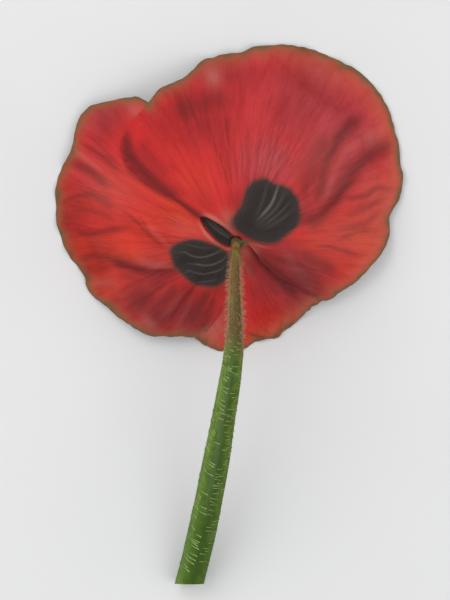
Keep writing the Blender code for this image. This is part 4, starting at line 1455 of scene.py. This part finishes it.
def makeOvary():
    ovary = ribbedBody("ovary_body", pistil["ovary"], pistil["ovaryRibs"])
    made, tree, shader = newMaterial("ovary_skin")
    mottle = surfaceNoise(tree, pistil["ovaryNoise"])
    onRib = rangeNode(tree, attributeNode(tree, "rib"), *pistil["ribShade"])
    colour = mixNode(tree, onRib, pistil["ovaryShade"], pistil["ovaryColour"])
    colour = mixNode(tree, rangeNode(tree, mottle, *pistil["bloom"]), colour, pistil["bloomColour"])
    tree.links.new(colour, shader.inputs["Base Color"])
    shader.inputs["Roughness"].default_value = pistil["ovaryRoughness"]
    tree.links.new(bumpNode(tree, mottle, *pistil["ovaryBump"]), shader.inputs["Normal"])
    ovary.materials.append(made)
    return addObject("ovary_body", ovary, ("ovary",))


def makeStigma():
    disc = ribbedBody("stigma_rays", pistil["disc"], pistil["discRibs"], pistil["rayHeight"])
    made, tree, shader = newMaterial("stigma_velvet")
    nap = surfaceNoise(tree, pistil["napNoise"])
    onRay = rangeNode(tree, attributeNode(tree, "ray"), *pistil["rayEdge"])
    colour = mixNode(tree, onRay, pistil["discColour"], pistil["rayColour"])
    colour = mixNode(tree, rangeNode(tree, nap, *pistil["nap"]), colour, pistil["napShade"])
    tree.links.new(colour, shader.inputs["Base Color"])
    shader.inputs["Roughness"].default_value = pistil["discRoughness"]
    shader.inputs["Sheen Weight"].default_value = pistil["discSheen"]
    tree.links.new(bumpNode(tree, nap, *pistil["discBump"]), shader.inputs["Normal"])
    disc.materials.append(made)
    return addObject("stigma_rays", disc, ("stigma_disc",))


makeOvary()
makeStigma()
print("made receptacle and pistil")


stamens = {
    "seed": 9,
    "count": 132,
    "rows": ((28.0, 7.4), (40.0, 8.0), (52.0, 8.2), (62.0, 7.4)),  # lean and length of each row
    "leanSpread": 6.0,
    "lengthSpread": (-0.6, 0.5),
    "turnSpread": 0.4,  # as a share of the space between two stamens
    "bend": (0.2, 1.1),
    "bendWay": (-0.3, 1.0),  # inwards and up
    "root": (2.05, 2.2),  # radius and height
    "rootStep": 0.15,  # how much further out each row stands
    "filament": 0.075,
    "filamentShares": (0.0, 0.2, 0.42, 0.64, 0.84, 0.98),  # of its length, where it can bend
    "antherLength": 1.5,
    "antherWidth": 0.34,
    "antherDepth": 0.6,  # as a share of its width
    # (share of the anther's length, share of its width)
    "antherOutline": ((0.0, 0.5), (0.12, 0.95), (0.45, 1.0), (0.75, 0.95), (0.94, 0.6), (1.0, 0.2)),
    "sides": 6,
    "filamentColour": (0.040, 0.018, 0.045),
    "antherColour": (0.028, 0.032, 0.045),
    "pollen": (0.13, 0.15, 0.12),
    "pollenNoise": (3000.0, 2.0, 0.7),
    "pollenFrom": (0.4, 0.75),
    "roughness": 0.7,
}


# One stamen before it is turned to its place, as (middle, half its depth, half its width, whether
# it is the anther), with the direction of its depth and how far it strays from its even place.
def stamenSections(row, draw):
    lean, length = stamens["rows"][row]
    lean = math.radians(lean + draw.uniform(-stamens["leanSpread"], stamens["leanSpread"]))
    length = length + draw.uniform(*stamens["lengthSpread"])
    turnShift = draw.uniform(-stamens["turnSpread"], stamens["turnSpread"])
    bend = draw.uniform(*stamens["bend"])
    heading = np.array([math.sin(lean), 0.0, math.cos(lean)])
    across = np.array([math.cos(lean), 0.0, -math.sin(lean)])
    root = np.array([stamens["root"][0] + stamens["rootStep"] * row, 0.0, stamens["root"][1]])
    inwards, upwards = stamens["bendWay"]
    thin = stamens["filament"]
    sections = []
    for share in stamens["filamentShares"]:
        sag = np.array([inwards, 0.0, upwards]) * bend * share * (1.0 - share)
        sections.append((root + heading * length * share + sag, thin, thin, 0.0))
    start = sections[-1][0]
    for share, fullness in stamens["antherOutline"]:
        wide = stamens["antherWidth"] * fullness
        middle = start + heading * stamens["antherLength"] * share
        sections.append((middle, stamens["antherDepth"] * wide, wide, 1.0))
    return sections, across, turnShift


def makeStamenMaterial():
    made, tree, shader = newMaterial("stamen_skin")
    dust = rangeNode(tree, surfaceNoise(tree, stamens["pollenNoise"]), *stamens["pollenFrom"])
    anther = mixNode(tree, dust, stamens["antherColour"], stamens["pollen"])
    colour = mixNode(tree, attributeNode(tree, "anther"), stamens["filamentColour"], anther)
    tree.links.new(colour, shader.inputs["Base Color"])
    shader.inputs["Roughness"].default_value = stamens["roughness"]
    return made


# All stamens in one mesh: a bent filament with a plump anther at its end.
def makeStamens():
    draw = np.random.default_rng(stamens["seed"])
    bm = bmesh.new()
    antherLayer = bm.verts.layers.float.new("anther")
    spacing = 2.0 * math.pi / stamens["count"]
    sideways = np.array([0.0, 1.0, 0.0])
    for index in range(stamens["count"]):
        sections, across, turnShift = stamenSections(index % len(stamens["rows"]), draw)
        spin = Matrix.Rotation(spacing * (index + turnShift), 3, "Z")
        rings = []
        for middle, deep, wide, isAnther in sections:
            ring = []
            for corner in range(stamens["sides"]):
                around = 2.0 * math.pi * corner / stamens["sides"]
                place = middle + deep * math.cos(around) * across + wide * math.sin(around) * sideways
                vertex = bm.verts.new(spin @ Vector(place) * mm)
                vertex[antherLayer] = isAnther
                ring.append(vertex)
            rings.append(ring)
        skinRings(bm, rings)
    bmesh.ops.recalc_face_normals(bm, faces=bm.faces[:])
    bm.transform(faceOntoFlower())
    mesh = meshFrom(bm, "stamen_ring")
    mesh.shade_smooth()
    mesh.materials.append(makeStamenMaterial())
    return addObject("stamen_ring", mesh, ("stamens",))


makeStamens()
print("made stamens")


# The stage: a pale floor, soft light and a camera looking straight down. In metres and watts,
# except where millimetres are named.
stage = {
    "floorColour": (0.80, 0.797, 0.793),
    "floorShade": 0.965,  # how bright its cloudy patches are against the rest
    "floorNoise": (9.0, 3.0, 0.5),
    "floorClouds": (0.35, 0.65),
    "floorRoughness": 0.9,
    "floorSpecular": 0.1,
    "floorSize": 4.0,
    "worldColour": (0.97, 0.98, 1.0),
    "worldLight": 0.82,
    "keyPower": 5.6,
    "keyPlace": (-0.75, 0.65, 1.15),
    "keySize": 1.2,
    "fillPower": 2.6,
    "fillPlace": (0.9, -0.5, 1.2),
    "fillSize": 1.2,
    "cameraHeight": 1.2,
    "cameraAim": (-1.2, 3.4),  # where it looks, in millimetres across the frame
    "pictureHeight": 150.0,  # millimetres of the flower seen from top to bottom of the picture
    "focusHeight": 12.0,  # millimetres above the floor, where that is measured
    "sensorWidth": 36.0,  # millimetres
}


def makeFloor():
    bm = bmesh.new()
    bmesh.ops.create_grid(bm, x_segments=8, y_segments=8, size=0.5 * stage["floorSize"])
    mesh = meshFrom(bm, "floor")
    made, tree, shader = newMaterial("floor_paper")
    clouds = rangeNode(tree, surfaceNoise(tree, stage["floorNoise"]), *stage["floorClouds"])
    shade = tuple(stage["floorShade"] * value for value in stage["floorColour"])
    tree.links.new(mixNode(tree, clouds, stage["floorColour"], shade), shader.inputs["Base Color"])
    shader.inputs["Roughness"].default_value = stage["floorRoughness"]
    shader.inputs["Specular IOR Level"].default_value = stage["floorSpecular"]
    mesh.materials.append(made)
    floor = bpy.data.objects.new("floor", mesh)
    bpy.context.scene.collection.objects.link(floor)


def addSoftLight(name, place, size, power):
    lamp = bpy.data.lights.new(name, "AREA")
    lamp.shape = "DISK"
    lamp.size = size
    lamp.energy = power
    obj = bpy.data.objects.new(name, lamp)
    obj.location = place
    obj.rotation_euler = (-Vector(place)).to_track_quat("-Z", "Y").to_euler()
    bpy.context.scene.collection.objects.link(obj)


def makeLights():
    addSoftLight("key_light", stage["keyPlace"], stage["keySize"], stage["keyPower"])
    addSoftLight("fill_light", stage["fillPlace"], stage["fillSize"], stage["fillPower"])
    world = bpy.data.worlds.new("studio")
    world.use_nodes = True
    background = world.node_tree.nodes["Background"]
    background.inputs[0].default_value = (*stage["worldColour"], 1.0)
    background.inputs[1].default_value = stage["worldLight"]
    bpy.context.scene.world = world
    bpy.context.scene.view_settings.view_transform = "Standard"


def makeCamera():
    lens = bpy.data.cameras.new("camera")
    lens.sensor_width = stage["sensorWidth"]
    away = stage["cameraHeight"] - stage["focusHeight"] * mm
    lens.lens = lens.sensor_width * away / (stage["pictureHeight"] * mm)
    lens.clip_start = 0.01
    camera = bpy.data.objects.new("camera", lens)
    camera.location = (stage["cameraAim"][0] * mm, stage["cameraAim"][1] * mm, stage["cameraHeight"])
    bpy.context.scene.collection.objects.link(camera)
    bpy.context.scene.camera = camera


makeFloor()
makeLights()
makeCamera()
print("made floor, lights and camera")

bpy.context.view_layer.update()
